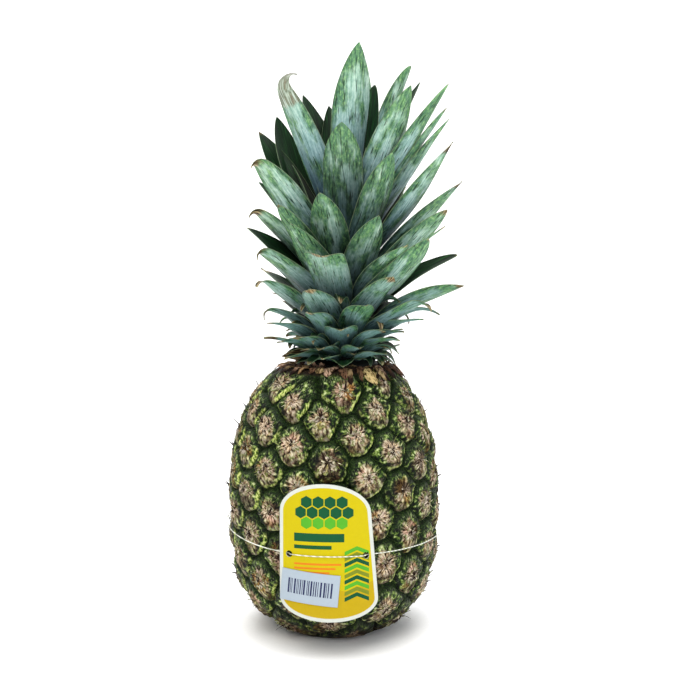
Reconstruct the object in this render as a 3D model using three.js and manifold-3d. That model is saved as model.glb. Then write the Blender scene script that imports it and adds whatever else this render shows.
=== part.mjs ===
// A ripe pineapple with its leafy crown, standing on its cut base, with a swing tag on an elastic thread.
// Millimetres, +Z up. The origin is the middle of the base, on the surface that the fruit stands on, and
// the front, where the tag hangs, faces -Y.
import * as THREE from 'three';
import { ConvexHull } from 'three/addons/math/ConvexHull.js';
import { mergeVertices } from 'three/addons/utils/BufferGeometryUtils.js';
import Module from 'manifold-3d';

const wasm = await Module();
wasm.setup();

// ---- Driving dimensions ------------------------------------------------------------------------------

const GAP = 0.3; // air between pieces that touch

const FRUIT = {
  radius: 58.9, // at the belly, over the crests of the eyes
  bellyZ: 72.6, // height of the widest ring
  lowerSpan: 78.15, // from the belly down to where the curve would close
  lowerPower: 3.228,
  upperSpan: 85.9, // from the belly up to where the curve would close
  upperPower: 2.507,
  topZ: 148, // flat top that the crown grows from
  footRadius: 26, // ring of the lowest eyes that the fruit stands on
  ringPoints: 20,
};

// The eyes sit on one spiral. Neighbours along it are a golden-angle turn apart, and the steep rows that
// the eye follows are the 8th, 13th and 21st neighbours.
const SPIRAL = {
  first: -92,
  last: 29,
  startTurn: -21.58, // degrees, eye 0, from the front towards +X
  turn: -137.364, // degrees from one eye to the next
  frontCrowding: 0.0932, // the eyes lie a little further apart at the front than at the back
  midZ: 111.1,
  rise: 1.013,
  riseSquared: -0.183, // the rise grows towards both ends of the fruit
  riseCubed: 2.084,
  scale: 50,
};

const EYE = {
  groove: -2.4, // below the crests' envelope
  crest: 0.6,
  dish: -0.5, // hollow round the bract
  bractLift: 1.9,
  bractRise: 1.6, // the bract's point bends up over the eye
  crestShare: 0.76, // of the way from the middle to the groove
  dishShare: 0.4,
};

const STALK = { radius: 14, innerRadius: 13, depth: 9, sides: 28 };

const CROWN = {
  x: 4, // the crown grows a little to one side
  z: 150,
  lean: 0.045,
  coreRadius: 22, // at the base, with the clasping leaf bases
  tipRadius: 4.5, // that it thins towards
  coreThinning: 24, // height over which most of that happens
  coreTop: 244,
  coreSides: 10,
  coreHeights: [10, 30], // of the core's sections above the crown's base
  rootZ: 149.4, // the lowest leaves' roots
  rootRise: 0.4, // height of a root as a share of its tip's height above the crown's base
  settledZ: 225, // tips from here up have that share, and lower ones less
};

const BLADE = {
  rib: 1.4, // thickness along the middle
  edge: 0.7, // thickness at the margins
  channel: 0.28, // how far the margins stand up, as a share of the half width
  rootShare: 0.6, // width at the root as a share of the full width
  swell: 0.35, // share of the length over which a leaf reaches its full width
  tip: 0.7, // half width at the very tip
  stations: [0, 0.4, 0.7, 0.9, 1], // sections of a leaf at the front
  backStations: [0, 0.5, 0.85, 1],
};

const TAG = {
  innerRadius: 62,
  thickness: 0.7,
  topZ: 92.6,
  shoulderZ: 78,
  hipZ: 33,
  bottomZ: 20.8,
  shoulderHalf: 24,
  hipHalf: 26,
  shoulderMiddle: -4.6,
  hipMiddle: -2.6,
  columns: 8,
  capAngles: [10, 28, 50, 70, 90], // degrees, where the round foot and top have rows of points
  middleRows: [48, 63], // heights of the rows between them
  holeRadius: 1.75,
  holeSides: 16,
  leftHole: -21.5, // degrees round the fruit
  rightHole: 15.5,
};

const LABEL = {
  width: 31,
  height: 16.5,
  thickness: 0.3,
  middleArc: -12.6, // along the card, from the fruit's front
  middleZ: 38.5,
  tilt: -5.5, // degrees
  columns: 6,
};

const THREAD = {
  radius: 0.38,
  z: 55.2, // at the front
  slope: 2.1, // how much higher it sits at the left side, and lower at the right
  lean: 4.2, // how much higher it sits at the sides, and twice that at the back
  ringRadius: 61.25,
  sides: 6,
  step: 6, // degrees from section to section
  hop: 1.2, // degrees over which it passes through a hole
};

const COLLAR = {
  x: 3.5,
  inner: 23.2,
  outer: 30,
  height: 1.4,
  bracts: 20,
  root: 25,
  width: 10,
  length: 12.5,
  sway: 1.3, // how far the points stand up or hang down
  swayStep: 2.4, // how fast that varies from bract to bract
  sunk: 0.35, // into the ring
  ridge: 0.9, // thickness along the middle
  keel: 0.1,
  stations: [0, 0.6, 1],
  tip: 0.12, // width at the point as a share of the full width
};

const degrees = THREE.MathUtils.degToRad;
const point = (x, y, z) => new THREE.Vector3(x, y, z);
const around = (radius, turn, z) => point(radius * Math.sin(turn), -radius * Math.cos(turn), z);

// ---- Making and joining closed meshes ----------------------------------------------------------------

function volumeOf(triangles) {
  return triangles.reduce((sum, [a, b, c]) => sum + a.dot(b.clone().cross(c)) / 6, 0);
}

// A closed geometry from triangles of Vector3.
function closed(triangles) {
  const geometry = new THREE.BufferGeometry();
  const places = new Float32Array(triangles.flat().flatMap((p) => [p.x, p.y, p.z]));
  geometry.setAttribute('position', new THREE.BufferAttribute(places, 3));
  return mergeVertices(geometry, 1e-4);
}

// Joins sections of equally many points into a skin that faces out. It ends in flat caps, or the last
// section meets the first again. Where alike says so, a quad is split the other way, so that both faces
// of a blade fold along the same lines.
function loft(sections, { ring = false, alike = () => false } = {}) {
  const triangles = [];
  const count = sections[0].length;
  const spans = ring ? sections.length : sections.length - 1;
  for (let i = 0; i < spans; i++) {
    const here = sections[i];
    const next = sections[(i + 1) % sections.length];
    for (let k = 0; k < count; k++) {
      const l = (k + 1) % count;
      if (alike(k)) triangles.push([here[k], here[l], next[k]], [here[l], next[l], next[k]]);
      else triangles.push([here[k], here[l], next[l]], [here[k], next[l], next[k]]);
    }
  }
  if (!ring) {
    const last = sections[sections.length - 1];
    for (let k = 1; k < count - 1; k++) {
      triangles.push([sections[0][0], sections[0][k + 1], sections[0][k]]);
      triangles.push([last[0], last[k], last[k + 1]]);
    }
  }
  return closed(volumeOf(triangles) > 0 ? triangles : triangles.map(([a, b, c]) => [a, c, b]));
}

function toSolid(geometry) {
  const bare = geometry.clone();
  bare.deleteAttribute('normal');
  bare.deleteAttribute('uv');
  const merged = mergeVertices(bare, 1e-4);
  return new wasm.Manifold(
    new wasm.Mesh({
      numProp: 3,
      vertProperties: new Float32Array(merged.attributes.position.array),
      triVerts: new Uint32Array(merged.index.array),
    }),
  );
}

// The largest body of a solid's mesh. Small pockets that fusing has sealed are bodies of their own there,
// so they are filled, and loose scraps are dropped.
function largestBody(solid) {
  const mesh = solid.getMesh();
  const owner = Array.from({ length: mesh.numVert }, (_, i) => i);
  const root = (i) => {
    while (owner[i] !== i) i = owner[i] = owner[owner[i]];
    return i;
  };
  for (let t = 0; t < mesh.triVerts.length; t += 3) {
    owner[root(mesh.triVerts[t])] = root(mesh.triVerts[t + 1]);
    owner[root(mesh.triVerts[t + 1])] = root(mesh.triVerts[t + 2]);
  }
  const place = (i) => new THREE.Vector3().fromArray(mesh.vertProperties, i * mesh.numProp);
  const bodies = new Map();
  for (let t = 0; t < mesh.triVerts.length; t += 3) {
    const [a, b, c] = mesh.triVerts.slice(t, t + 3);
    const body = bodies.get(root(a)) ?? [];
    body.push([place(a), place(b), place(c)]);
    bodies.set(root(a), body);
  }
  const bodiesBySize = [...bodies.values()].sort((a, b) => volumeOf(b) - volumeOf(a));
  return closed(bodiesBySize[0]);
}

const fuse = (geometries) => largestBody(geometries.map(toSolid).reduce((all, one) => all.add(one)));

// ---- The fruit ---------------------------------------------------------------------------------------

function fruitRadius(z) {
  const below = z < FRUIT.bellyZ;
  const share = Math.abs(z - FRUIT.bellyZ) / (below ? FRUIT.lowerSpan : FRUIT.upperSpan);
  return FRUIT.radius * Math.sqrt(Math.max(0, 1 - share ** (below ? FRUIT.lowerPower : FRUIT.upperPower)));
}

// A place on the fruit, lifted along the outward normal.
function onFruit(turn, z, lift) {
  const slope = fruitRadius(z + 0.5) - fruitRadius(z - 0.5);
  const length = Math.hypot(1, slope);
  return around(fruitRadius(z) + lift / length, turn, z - (lift * slope) / length);
}

function eyePlace(n) {
  const even = degrees(SPIRAL.startTurn + n * SPIRAL.turn);
  const s = n / SPIRAL.scale;
  const z = SPIRAL.midZ + SPIRAL.rise * n + SPIRAL.riseSquared * s ** 2 + SPIRAL.riseCubed * s ** 3;
  return { turn: even + SPIRAL.frontCrowding * Math.sin(even), z };
}

// The places that the fruit's cells grow round: the eyes, and plain points for its flat top and base.
function cellCentres() {
  const cells = [];
  for (let n = SPIRAL.first; n <= SPIRAL.last; n++) {
    const eye = eyePlace(n);
    cells.push({ ...eye, eye: true, place: onFruit(eye.turn, eye.z, 0) });
  }
  const rings = [
    { z: 0, radius: FRUIT.footRadius, proud: -1 },
    { z: FRUIT.topZ, radius: fruitRadius(FRUIT.topZ), proud: 1 },
  ];
  for (const { z, radius, proud } of rings) {
    for (let i = 0; i < FRUIT.ringPoints; i++) {
      cells.push({ flat: z, place: around(radius, (i * 2 * Math.PI) / FRUIT.ringPoints, z) });
    }
    // The middle stands a little proud while neighbours are found, so that each ring point meets it.
    cells.push({ flat: z, hullPlace: point(0, 0, z + proud), place: point(0, 0, z) });
  }
  return cells;
}

// Neighbouring cells, as triangles of cell numbers: the convex hull of their middles.
function neighbours(cells) {
  const places = cells.map((cell) => cell.hullPlace ?? cell.place);
  const hull = new ConvexHull().setFromPoints(places);
  return hull.faces.map((face) => {
    const found = [];
    let edge = face.edge;
    do {
      found.push(places.indexOf(edge.head().point));
      edge = edge.next;
    } while (edge !== face.edge);
    return found;
  });
}

// Where three cells meet: in the grooves, or on the flat top or base.
function meetingPoint(three) {
  const middle = three.reduce((sum, cell) => sum.add(cell.place), point(0, 0, 0)).divideScalar(3);
  if (three.every((cell) => cell.flat !== undefined)) return middle;
  return onFruit(Math.atan2(middle.x, -middle.y), middle.z, EYE.groove);
}

// A ring of the eye, part of the way from its middle to its corners.
function eyeRing(cell, corners, share, lift) {
  return corners.map((corner) => {
    let turn = Math.atan2(corner.x, -corner.y) - cell.turn;
    turn -= 2 * Math.PI * Math.round(turn / (2 * Math.PI));
    return onFruit(cell.turn + turn * share, cell.z + (corner.z - cell.z) * share, lift);
  });
}

function fruit() {
  const cells = cellCentres();
  const faces = neighbours(cells);
  const meetings = faces.map((face) => meetingPoint(face.map((i) => cells[i])));
  const triangles = [];
  cells.forEach((cell, i) => {
    // The faces round this cell, in order: each shares an edge with the next.
    const mine = faces.map((face, f) => ({ f, at: face.indexOf(i), face })).filter((entry) => entry.at >= 0);
    const ordered = [mine[0]];
    while (ordered.length < mine.length) {
      const { face, at } = ordered[ordered.length - 1];
      const before = face[(at + 2) % 3];
      ordered.push(mine.find((entry) => entry.face[(entry.at + 1) % 3] === before));
    }
    const corners = ordered.map(({ f }) => meetings[f]);
    const round = (ring, other) => {
      ring.forEach((p, k) => {
        const l = (k + 1) % ring.length;
        triangles.push([ring[k], other[k], other[l]], [ring[k], other[l], ring[l]]);
      });
    };
    const fan = (middle, ring) => {
      ring.forEach((p, k) => triangles.push([middle, p, ring[(k + 1) % ring.length]]));
    };
    if (!cell.eye) {
      fan(cell.place, corners);
      return;
    }
    const crest = eyeRing(cell, corners, EYE.crestShare, EYE.crest);
    const dish = eyeRing(cell, corners, EYE.dishShare, EYE.dish);
    round(crest, corners);
    round(dish, crest);
    fan(onFruit(cell.turn, cell.z + EYE.bractRise, EYE.bractLift), dish);
  });
  const bore = STALK.radius + GAP;
  const socket = new THREE.CylinderGeometry(bore, bore, STALK.depth * 2, STALK.sides);
  socket.rotateX(Math.PI / 2);
  return largestBody(toSolid(closed(triangles)).subtract(toSolid(socket)));
}

// The cut end of the fruit stalk, flush with the base.
function stalk() {
  const height = STALK.depth - GAP;
  const geometry = new THREE.CylinderGeometry(STALK.innerRadius, STALK.radius, height, STALK.sides);
  geometry.rotateX(Math.PI / 2);
  geometry.translate(0, 0, height / 2);
  return geometry;
}

// ---- The crown ---------------------------------------------------------------------------------------

// Leaves that face the front and sides, from the top down. Each is the place of its tip, its full width,
// the length over which it narrows to the tip, how far its back is turned to the front in degrees, and
// how far it bows, as a share of its length. Where a tip has curled, the degrees that it turns through
// follow (inwards, or outwards where negative) and the share of the length at which that starts.
const FRONT_LEAVES = [
  [14, -12, 328, 26, 42, 0, 0],
  [23, -4, 306, 24, 42, -60, 0],
  [44, 12, 320, 23, 40, 40, 0.02],
  [41, -34, 300, 19, 42, 28, 0.02],
  [50, 18, 312, 20, 60, 0, 0.02],
  [61, -34, 301, 15, 80, 20, 0.03],
  [61, -24, 290, 10, 70, 15, 0.03],
  [31, -40, 264, 20, 34, 0, 0],
  [63, -20, 285, 13, 60, 15, 0.02],
  [63, -36, 270, 15, 55, 12, -0.02],
  [52, 18, 274, 16, 50, -30, 0.02],
  [69, -28, 250, 15, 45, 18, 0],
  [60, -38, 234, 19, 38, 15, -0.01],
  [62, -10, 227, 12, 45, 0, 0.03],
  [49, -54, 218, 22, 34, 5, -0.05],
  [68, -16, 211, 18, 42, -35, 0.05],
  [70.5, -28, 194, 17, 45, 25, 0.07],
  [52, -46, 188, 17, 36, 5, 0.04, -70, 0.8],
  [58, -24, 183, 11, 45, 20, 0.12, -30, 0.7],
  [48, -36, 176, 14, 40, 10, 0.12],
  [35, -44, 165, 15, 34, 0, 0.12],
  [36, -30, 161, 13, 30, 0, 0.14, -30, 0.6],
  [36, -20, 154, 11, 30, 0, 0.16, -40, 0.6],
  [-35, -26, 314, 21, 70, 18, 0.03, 125, 0.82],
  [-18, 14, 304, 26, 45, -15, 0.02],
  [-3, 20, 299, 20, 40, 0, 0.02],
  [-33, 12, 291, 24, 34, -20, -0.06],
  [-43, 6, 282, 18, 40, -50, 0],
  [-43, -38, 263, 19, 30, 25, 0.03, -100, 0.9],
  [-42, -4, 252, 22, 40, -30, 0.02],
  [-46, -22, 238, 17, 32, 15, 0.03, -100, 0.88],
  [-29, -46, 236, 15, 28, 10, 0.02],
  [-22, -54, 226, 18, 34, 5, 0.02],
  [-48, -18, 226, 17, 32, -40, 0.03],
  [-42, -40, 215, 17, 36, 15, 0.04, -120, 0.88],
  [-42, -32, 199, 15, 38, 15, 0.05, -80, 0.86],
  [-41, -30, 182, 12, 36, 15, 0.12, -110, 0.84],
  [-36, -34, 174, 13, 34, 10, 0.12],
  [-39, -14, 165, 12, 44, 15, 0.1],
  [-29, -16, 155, 13, 10, 30, 0.06],
  [4, -32, 281, 22, 26, 0, 0.02],
  [-7, -50, 242, 20, 30, 5, 0.02],
  [23, -54, 230, 19, 34, 0, 0.02],
  [38, -56, 215, 18, 36, 5, 0.03],
  [-6, -61, 210.5, 21, 7, 0, 0.04, -30, 0.9],
  [31, -58, 198, 17, 32, 5, 0.06],
  [-13, -58, 192, 18, 24, 5, 0.06],
  [-13, -54, 180, 15, 24, 0, 0.1],
  [17, -60, 184, 17, 24, 0, 0.08],
  [4, -54, 171, 18, 20, 0, 0.14],
  [27, -50, 170, 12, 28, 0, 0.1],
  [-20, -42, 167, 12, 26, 0, 0.1],
  [-8, -42, 160, 12, 20, 0, 0.12],
  [28, -42, 158, 11, 24, 0, 0.06],
  [-6, -40, 155, 12, 20, 0, 0.08],
  [14, -44, 161, 12, 20, 0, 0.1],
  [-22, -32, 166, 14, 24, 10, 0.1],
  [5, -40, 151, 13, 16, 0, 0.08],
  [-31, -24, 163, 16, 30, 10, 0.14],
  [38, -30, 169, 15, 30, 10, 0.14],
  [-27, -27, 154, 14, 22, 10, 0.12],
  [33, -14, 151, 13, 24, 0, 0.2],
  [27, -33, 153, 12, 22, 10, 0.16, -20, 0.7],
  [-14, -36, 152, 11, 20, 0, 0.12],
];

// Leaves behind those, which spiral up the back of the core.
const BACK = {
  leaves: 28,
  halfSector: 78, // degrees to either side of straight back
  low: 160,
  high: 292,
  climb: 0.9, // below 1, the tips crowd towards the top
  golden: 0.618034,
  sway: 0.08, // how far the reach varies, and how fast from leaf to leaf
  swayStep: 2.3,
  widths: [12, 22], // at the crown's base, and from widthSpan above it
  widthSpan: 90,
  taper: 1.8, // narrowing length as a share of the width
  bow: 0.03,
};

// The crown's outline: narrow at its foot, full in the middle and narrow at the top.
const OUTLINE = { foot: 24, swell: 30, fullness: 1.15, rounding: 0.8, topLoss: 8, topZ: 328 };

const coreMiddle = (z) => point(CROWN.x + CROWN.lean * (z - CROWN.z), 0, z);
function coreRadius(z) {
  const flare = CROWN.coreRadius - CROWN.tipRadius;
  return CROWN.tipRadius + flare * Math.exp((FRUIT.topZ - z) / CROWN.coreThinning);
}

const smooth = (t) => THREE.MathUtils.smoothstep(t, 0, 1);
const between = ([low, high], share) => low + (high - low) * share;

function leafHalfWidth(along, length, width, taper) {
  const swell = BLADE.rootShare + (1 - BLADE.rootShare) * smooth(along / (BLADE.swell * length));
  const toTip = Math.max(0, along - (length - taper)) / taper;
  return Math.max(BLADE.tip, (width / 2) * swell * Math.max(0, 1 - toTip ** 2) ** 0.8);
}

// The height on the core at which a leaf grows, from the height of its tip.
function rootHeight(z) {
  const settled = smooth((z - CROWN.z) / (CROWN.settledZ - CROWN.z));
  return CROWN.rootZ + CROWN.rootRise * (z - CROWN.z) * settled;
}

// Places along a leaf, each with the directions ahead and out of its inner face.
function leafPath([x, y, z, , , , bow, curl = 0, curlStart = 1], stations) {
  const tip = point(x, y, z);
  const rootZ = rootHeight(z);
  const middle = coreMiddle(rootZ);
  const outward = point(tip.x - middle.x, tip.y, 0).normalize();
  const root = middle.addScaledVector(outward, coreRadius(rootZ) / 2);
  const chord = tip.clone().sub(root);
  const length = chord.length();
  const up = outward.clone().multiplyScalar(-chord.z / length).add(point(0, 0, chord.dot(outward) / length));
  const bend = root.clone().addScaledVector(chord, 0.5).addScaledVector(up, 2 * bow * length);
  const curve = new THREE.QuadraticBezierCurve3(root, bend, tip);
  const curled = stations.slice(0, -2).filter((t) => t < curlStart);
  const shares = curl ? [...curled, curlStart, (curlStart + 1) / 2, 1] : stations;
  const steps = shares.map((t) => {
    const ahead = curve.getTangent(t);
    const normal = outward.clone().multiplyScalar(-ahead.z).add(point(0, 0, ahead.dot(outward)));
    const angle = degrees(curl) * smooth((t - curlStart) / (1 - curlStart || 1));
    return {
      t,
      at: curve.getPoint(t),
      ahead: ahead.clone().multiplyScalar(Math.cos(angle)).addScaledVector(normal, Math.sin(angle)),
      normal: normal.multiplyScalar(Math.cos(angle)).addScaledVector(ahead, -Math.sin(angle)),
    };
  });
  const strides = steps.slice(1).map((step, i) => step.at.distanceTo(steps[i].at));
  if (curl) {
    strides.forEach((stride, i) => {
      const [here, next] = [steps[i], steps[i + 1]];
      next.at = here.at.clone().addScaledVector(here.ahead.clone().add(next.ahead).normalize(), stride);
    });
  }
  return { steps, length, outward };
}

// A channelled blade from inside the core to its tip, with a rib and thinner margins.
function leaf(row, stations) {
  const [, , , width, taper, turn] = row;
  const { steps, length, outward } = leafPath(row, stations);
  const roll = degrees(turn) * Math.sign(outward.x || 1);
  const sections = steps.map(({ t, at, ahead, normal }) => {
    const flatSide = ahead.clone().cross(normal);
    const side = flatSide.clone().multiplyScalar(Math.cos(roll)).addScaledVector(normal, Math.sin(roll));
    const inward = normal.clone().multiplyScalar(Math.cos(roll)).addScaledVector(flatSide, -Math.sin(roll));
    const half = leafHalfWidth(t * length, length, width, taper);
    const place = (across, lift) => at.clone().addScaledVector(side, across * half)
      .addScaledVector(inward, lift + Math.abs(across) * BLADE.channel * half);
    return [
      place(0, BLADE.rib / 2),
      place(-1, BLADE.edge / 2),
      place(-1, -BLADE.edge / 2),
      place(0, -BLADE.rib / 2),
      place(1, -BLADE.edge / 2),
      place(1, BLADE.edge / 2),
    ];
  });
  return loft(sections, { alike: (k) => k === 2 || k === 3 });
}

// How far the crown's outline stands from its axis at a height.
function crownReach(z) {
  const share = (z - CROWN.z) / (OUTLINE.topZ - CROWN.z);
  const swell = Math.sin(Math.PI * Math.min(1, share * OUTLINE.fullness) ** OUTLINE.rounding);
  return OUTLINE.foot + OUTLINE.swell * swell - OUTLINE.topLoss * share ** 3;
}

function backLeaves() {
  return Array.from({ length: BACK.leaves }, (_, k) => {
    const z = between([BACK.low, BACK.high], (k / (BACK.leaves - 1)) ** BACK.climb);
    const sector = 2 * ((k * BACK.golden) % 1) - 1;
    const turn = degrees(180 + BACK.halfSector * sector);
    const reach = crownReach(z) * (1 - BACK.sway + BACK.sway * Math.cos(k * BACK.swayStep));
    const width = between(BACK.widths, smooth((z - CROWN.z) / BACK.widthSpan));
    const tip = around(reach, turn, z).add(coreMiddle(z).setZ(0));
    return [tip.x, tip.y, z, width, BACK.taper * width, 0, BACK.bow];
  });
}

function crown() {
  const heights = [FRUIT.topZ + GAP, ...CROWN.coreHeights.map((h) => CROWN.z + h), CROWN.coreTop];
  const core = loft(heights.map((z) => {
    const middle = coreMiddle(z);
    return Array.from({ length: CROWN.coreSides }, (_, i) => {
      return around(coreRadius(z), (i * 2 * Math.PI) / CROWN.coreSides, z).add(point(middle.x, 0, 0));
    });
  }));
  const front = FRONT_LEAVES.map((row) => leaf(row, BLADE.stations));
  const back = backLeaves().map((row) => leaf(row, BLADE.backStations));
  return fuse([core, ...front, ...back]);
}

// Dry bracts of the topmost eyes, on the ring that they grow from, under the crown.
function collar() {
  const low = FRUIT.topZ + GAP;
  const ring = new THREE.LatheGeometry(
    [[COLLAR.inner, low], [COLLAR.outer, low], [COLLAR.outer, low + COLLAR.height],
      [COLLAR.inner, low + COLLAR.height], [COLLAR.inner, low]].map(([r, z]) => new THREE.Vector2(r, z)),
    COLLAR.bracts,
  );
  ring.rotateX(Math.PI / 2);
  const bracts = Array.from({ length: COLLAR.bracts }, (_, k) => {
    const turn = (k * 2 * Math.PI) / COLLAR.bracts;
    const raised = COLLAR.sway * Math.sin(k * COLLAR.swayStep);
    const outward = around(1, turn, 0);
    const side = around(1, turn + Math.PI / 2, 0);
    return loft(COLLAR.stations.map((t) => {
      const half = (COLLAR.width / 2) * Math.max(COLLAR.tip, 1 - t ** 2);
      const lift = raised * t ** 2 + COLLAR.height - COLLAR.sunk + low;
      const at = outward.clone().multiplyScalar(COLLAR.root + COLLAR.length * t).setZ(lift);
      const place = (across, up) => at.clone().addScaledVector(side, across * half).add(point(0, 0, up));
      return [place(-1, 0), place(0, -COLLAR.keel), place(1, 0), place(0, COLLAR.ridge)];
    }));
  });
  const geometry = fuse([ring, ...bracts]);
  return geometry.translate(COLLAR.x, 0, 0);
}

// ---- The tag -----------------------------------------------------------------------------------------

// A sheet bent round the fruit's axis. Each row of arc positions and heights runs from left to right.
function bentSheet(rows, innerRadius, thickness) {
  const skin = (radius) => rows.map((row) => row.map(([arc, z]) => around(radius, arc / innerRadius, z)));
  const inner = skin(innerRadius);
  const outer = skin(innerRadius + thickness);
  const last = rows[0].length - 1;
  const triangles = [];
  const quad = (a, b, c, d) => triangles.push([a, b, c], [a, c, d]);
  for (let i = 0; i < rows.length - 1; i++) {
    for (let j = 0; j < last; j++) {
      quad(outer[i][j], outer[i][j + 1], outer[i + 1][j + 1], outer[i + 1][j]);
      quad(inner[i][j + 1], inner[i][j], inner[i + 1][j], inner[i + 1][j + 1]);
    }
    quad(inner[i][0], outer[i][0], outer[i + 1][0], inner[i + 1][0]);
    quad(outer[i][last], inner[i][last], inner[i + 1][last], outer[i + 1][last]);
  }
  const top = rows.length - 1;
  for (let j = 0; j < last; j++) {
    quad(inner[0][j], inner[0][j + 1], outer[0][j + 1], outer[0][j]);
    quad(outer[top][j], outer[top][j + 1], inner[top][j + 1], inner[top][j]);
  }
  return closed(triangles);
}

// A card with a round top and foot, a little wider at the foot.
function tagCard() {
  const slant = (z, top, foot) => foot + ((top - foot) * (z - TAG.hipZ)) / (TAG.shoulderZ - TAG.hipZ);
  const row = (z, share) => Array.from({ length: TAG.columns + 1 }, (_, j) => {
    const across = (2 * j) / TAG.columns - 1;
    const half = slant(z, TAG.shoulderHalf, TAG.hipHalf) * share;
    return [slant(z, TAG.shoulderMiddle, TAG.hipMiddle) + half * across, z];
  });
  const steps = TAG.capAngles.map(degrees);
  const foot = steps.map((a) => row(TAG.hipZ - (TAG.hipZ - TAG.bottomZ) * Math.cos(a), Math.sin(a)));
  const middle = TAG.middleRows.map((z) => row(z, 1));
  const dome = TAG.topZ - TAG.shoulderZ;
  const top = steps.reverse().map((a) => row(TAG.shoulderZ + dome * Math.cos(a), Math.sin(a)));
  let card = toSolid(bentSheet([...foot, ...middle, ...top], TAG.innerRadius, TAG.thickness));
  for (const turn of [TAG.leftHole, TAG.rightHole].map(degrees)) {
    const depth = 10 * TAG.thickness;
    const punch = new THREE.CylinderGeometry(TAG.holeRadius, TAG.holeRadius, depth, TAG.holeSides);
    punch.rotateZ(turn);
    const seat = around(TAG.innerRadius, turn, threadHeight(turn));
    punch.translate(seat.x, seat.y, seat.z);
    card = card.subtract(toSolid(punch));
  }
  return largestBody(card);
}

function priceLabel() {
  const tilt = degrees(LABEL.tilt);
  const rows = [-0.5, 0.5].map((v) => Array.from({ length: LABEL.columns + 1 }, (_, j) => {
    const u = (j / LABEL.columns - 0.5) * LABEL.width;
    const w = v * LABEL.height;
    return [
      LABEL.middleArc + u * Math.cos(tilt) - w * Math.sin(tilt),
      LABEL.middleZ + u * Math.sin(tilt) + w * Math.cos(tilt),
    ];
  }));
  return bentSheet(rows, TAG.innerRadius + TAG.thickness + GAP, LABEL.thickness);
}

// ---- The elastic thread ------------------------------------------------------------------------------

// The thread sits higher at the back, and a little higher on the left than on the right.
function threadHeight(turn) {
  return THREAD.z - THREAD.slope * Math.sin(turn) ** 3 + THREAD.lean * (1 - Math.cos(turn));
}

// Round the fruit behind the card's edges, out through one hole, over the card and in through the other.
function thread() {
  const over = TAG.innerRadius + TAG.thickness + GAP + THREAD.radius;
  const stops = [];
  for (let a = TAG.rightHole + THREAD.hop; a < 360 + TAG.leftHole - THREAD.hop; a += THREAD.step) {
    stops.push([a, THREAD.ringRadius]);
  }
  stops.push([360 + TAG.leftHole - THREAD.hop, THREAD.ringRadius]);
  const span = TAG.rightHole - TAG.leftHole - 2 * THREAD.hop;
  const pieces = Math.round(span / THREAD.step);
  for (let i = 0; i <= pieces; i++) {
    stops.push([360 + TAG.leftHole + THREAD.hop + (span * i) / pieces, over]);
  }
  const path = stops.map(([a, radius]) => around(radius, degrees(a), threadHeight(degrees(a))));
  const up = point(0, 0, 1);
  return loft(path.map((at, i) => {
    const before = path[(i + path.length - 1) % path.length];
    const after = path[(i + 1) % path.length];
    const ahead = after.clone().sub(before).normalize();
    const side = ahead.clone().cross(up).normalize();
    const top = side.clone().cross(ahead);
    return Array.from({ length: THREAD.sides }, (_, k) => {
      const a = (k * 2 * Math.PI) / THREAD.sides;
      return at.clone().addScaledVector(side, THREAD.radius * Math.cos(a))
        .addScaledVector(top, THREAD.radius * Math.sin(a));
    });
  }), { ring: true });
}

// ---- The whole ---------------------------------------------------------------------------------------

const finishes = {
  rind: { color: 0x6f7a3a, roughness: 0.6, metalness: 0 },
  leaves: { color: 0x5c7d6c, roughness: 0.5, metalness: 0 },
  husk: { color: 0xb08a5e, roughness: 0.8, metalness: 0 },
  cutStalk: { color: 0xc9b27a, roughness: 0.9, metalness: 0 },
  card: { color: 0xefd30f, roughness: 0.45, metalness: 0 },
  label: { color: 0xf4f4f2, roughness: 0.6, metalness: 0 },
  elastic: { color: 0xe9e6da, roughness: 0.7, metalness: 0 },
};

const pineapple = new THREE.Group();

function addPiece(name, geometry, finish) {
  const mesh = new THREE.Mesh(geometry, new THREE.MeshStandardMaterial(finishes[finish]));
  mesh.name = name;
  pineapple.add(mesh);
}

addPiece('fruit', fruit(), 'rind');
addPiece('stalk', stalk(), 'cutStalk');
addPiece('crown', crown(), 'leaves');
addPiece('collar_bracts', collar(), 'husk');
addPiece('tag_card', tagCard(), 'card');
addPiece('price_label', priceLabel(), 'label');
addPiece('tag_thread', thread(), 'elastic');

export default pineapple;
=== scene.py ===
# %% [markdown]
# # A pineapple with its crown, a swing tag and an elastic thread
#
# A pineapple is a spiral of fruitlets that have grown together. Each fruitlet shows as an eye with a
# papery bract, and the stem goes on through the fruit into a crown of stiff leaves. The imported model
# gives every piece at its real size, and this script gives the same pieces their fine surface: eyes and
# grooves, waxy leaves, dry bracts, printed card. Sizes inside the script are in millimetres, as a
# grower's would be, and are turned into Blender's metres where a mesh or a pattern is made.

# %% Load the frame
import math
from collections import namedtuple
from functools import partial

import bpy
import numpy as np
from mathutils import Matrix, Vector
from mathutils.geometry import delaunay_2d_cdt


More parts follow.
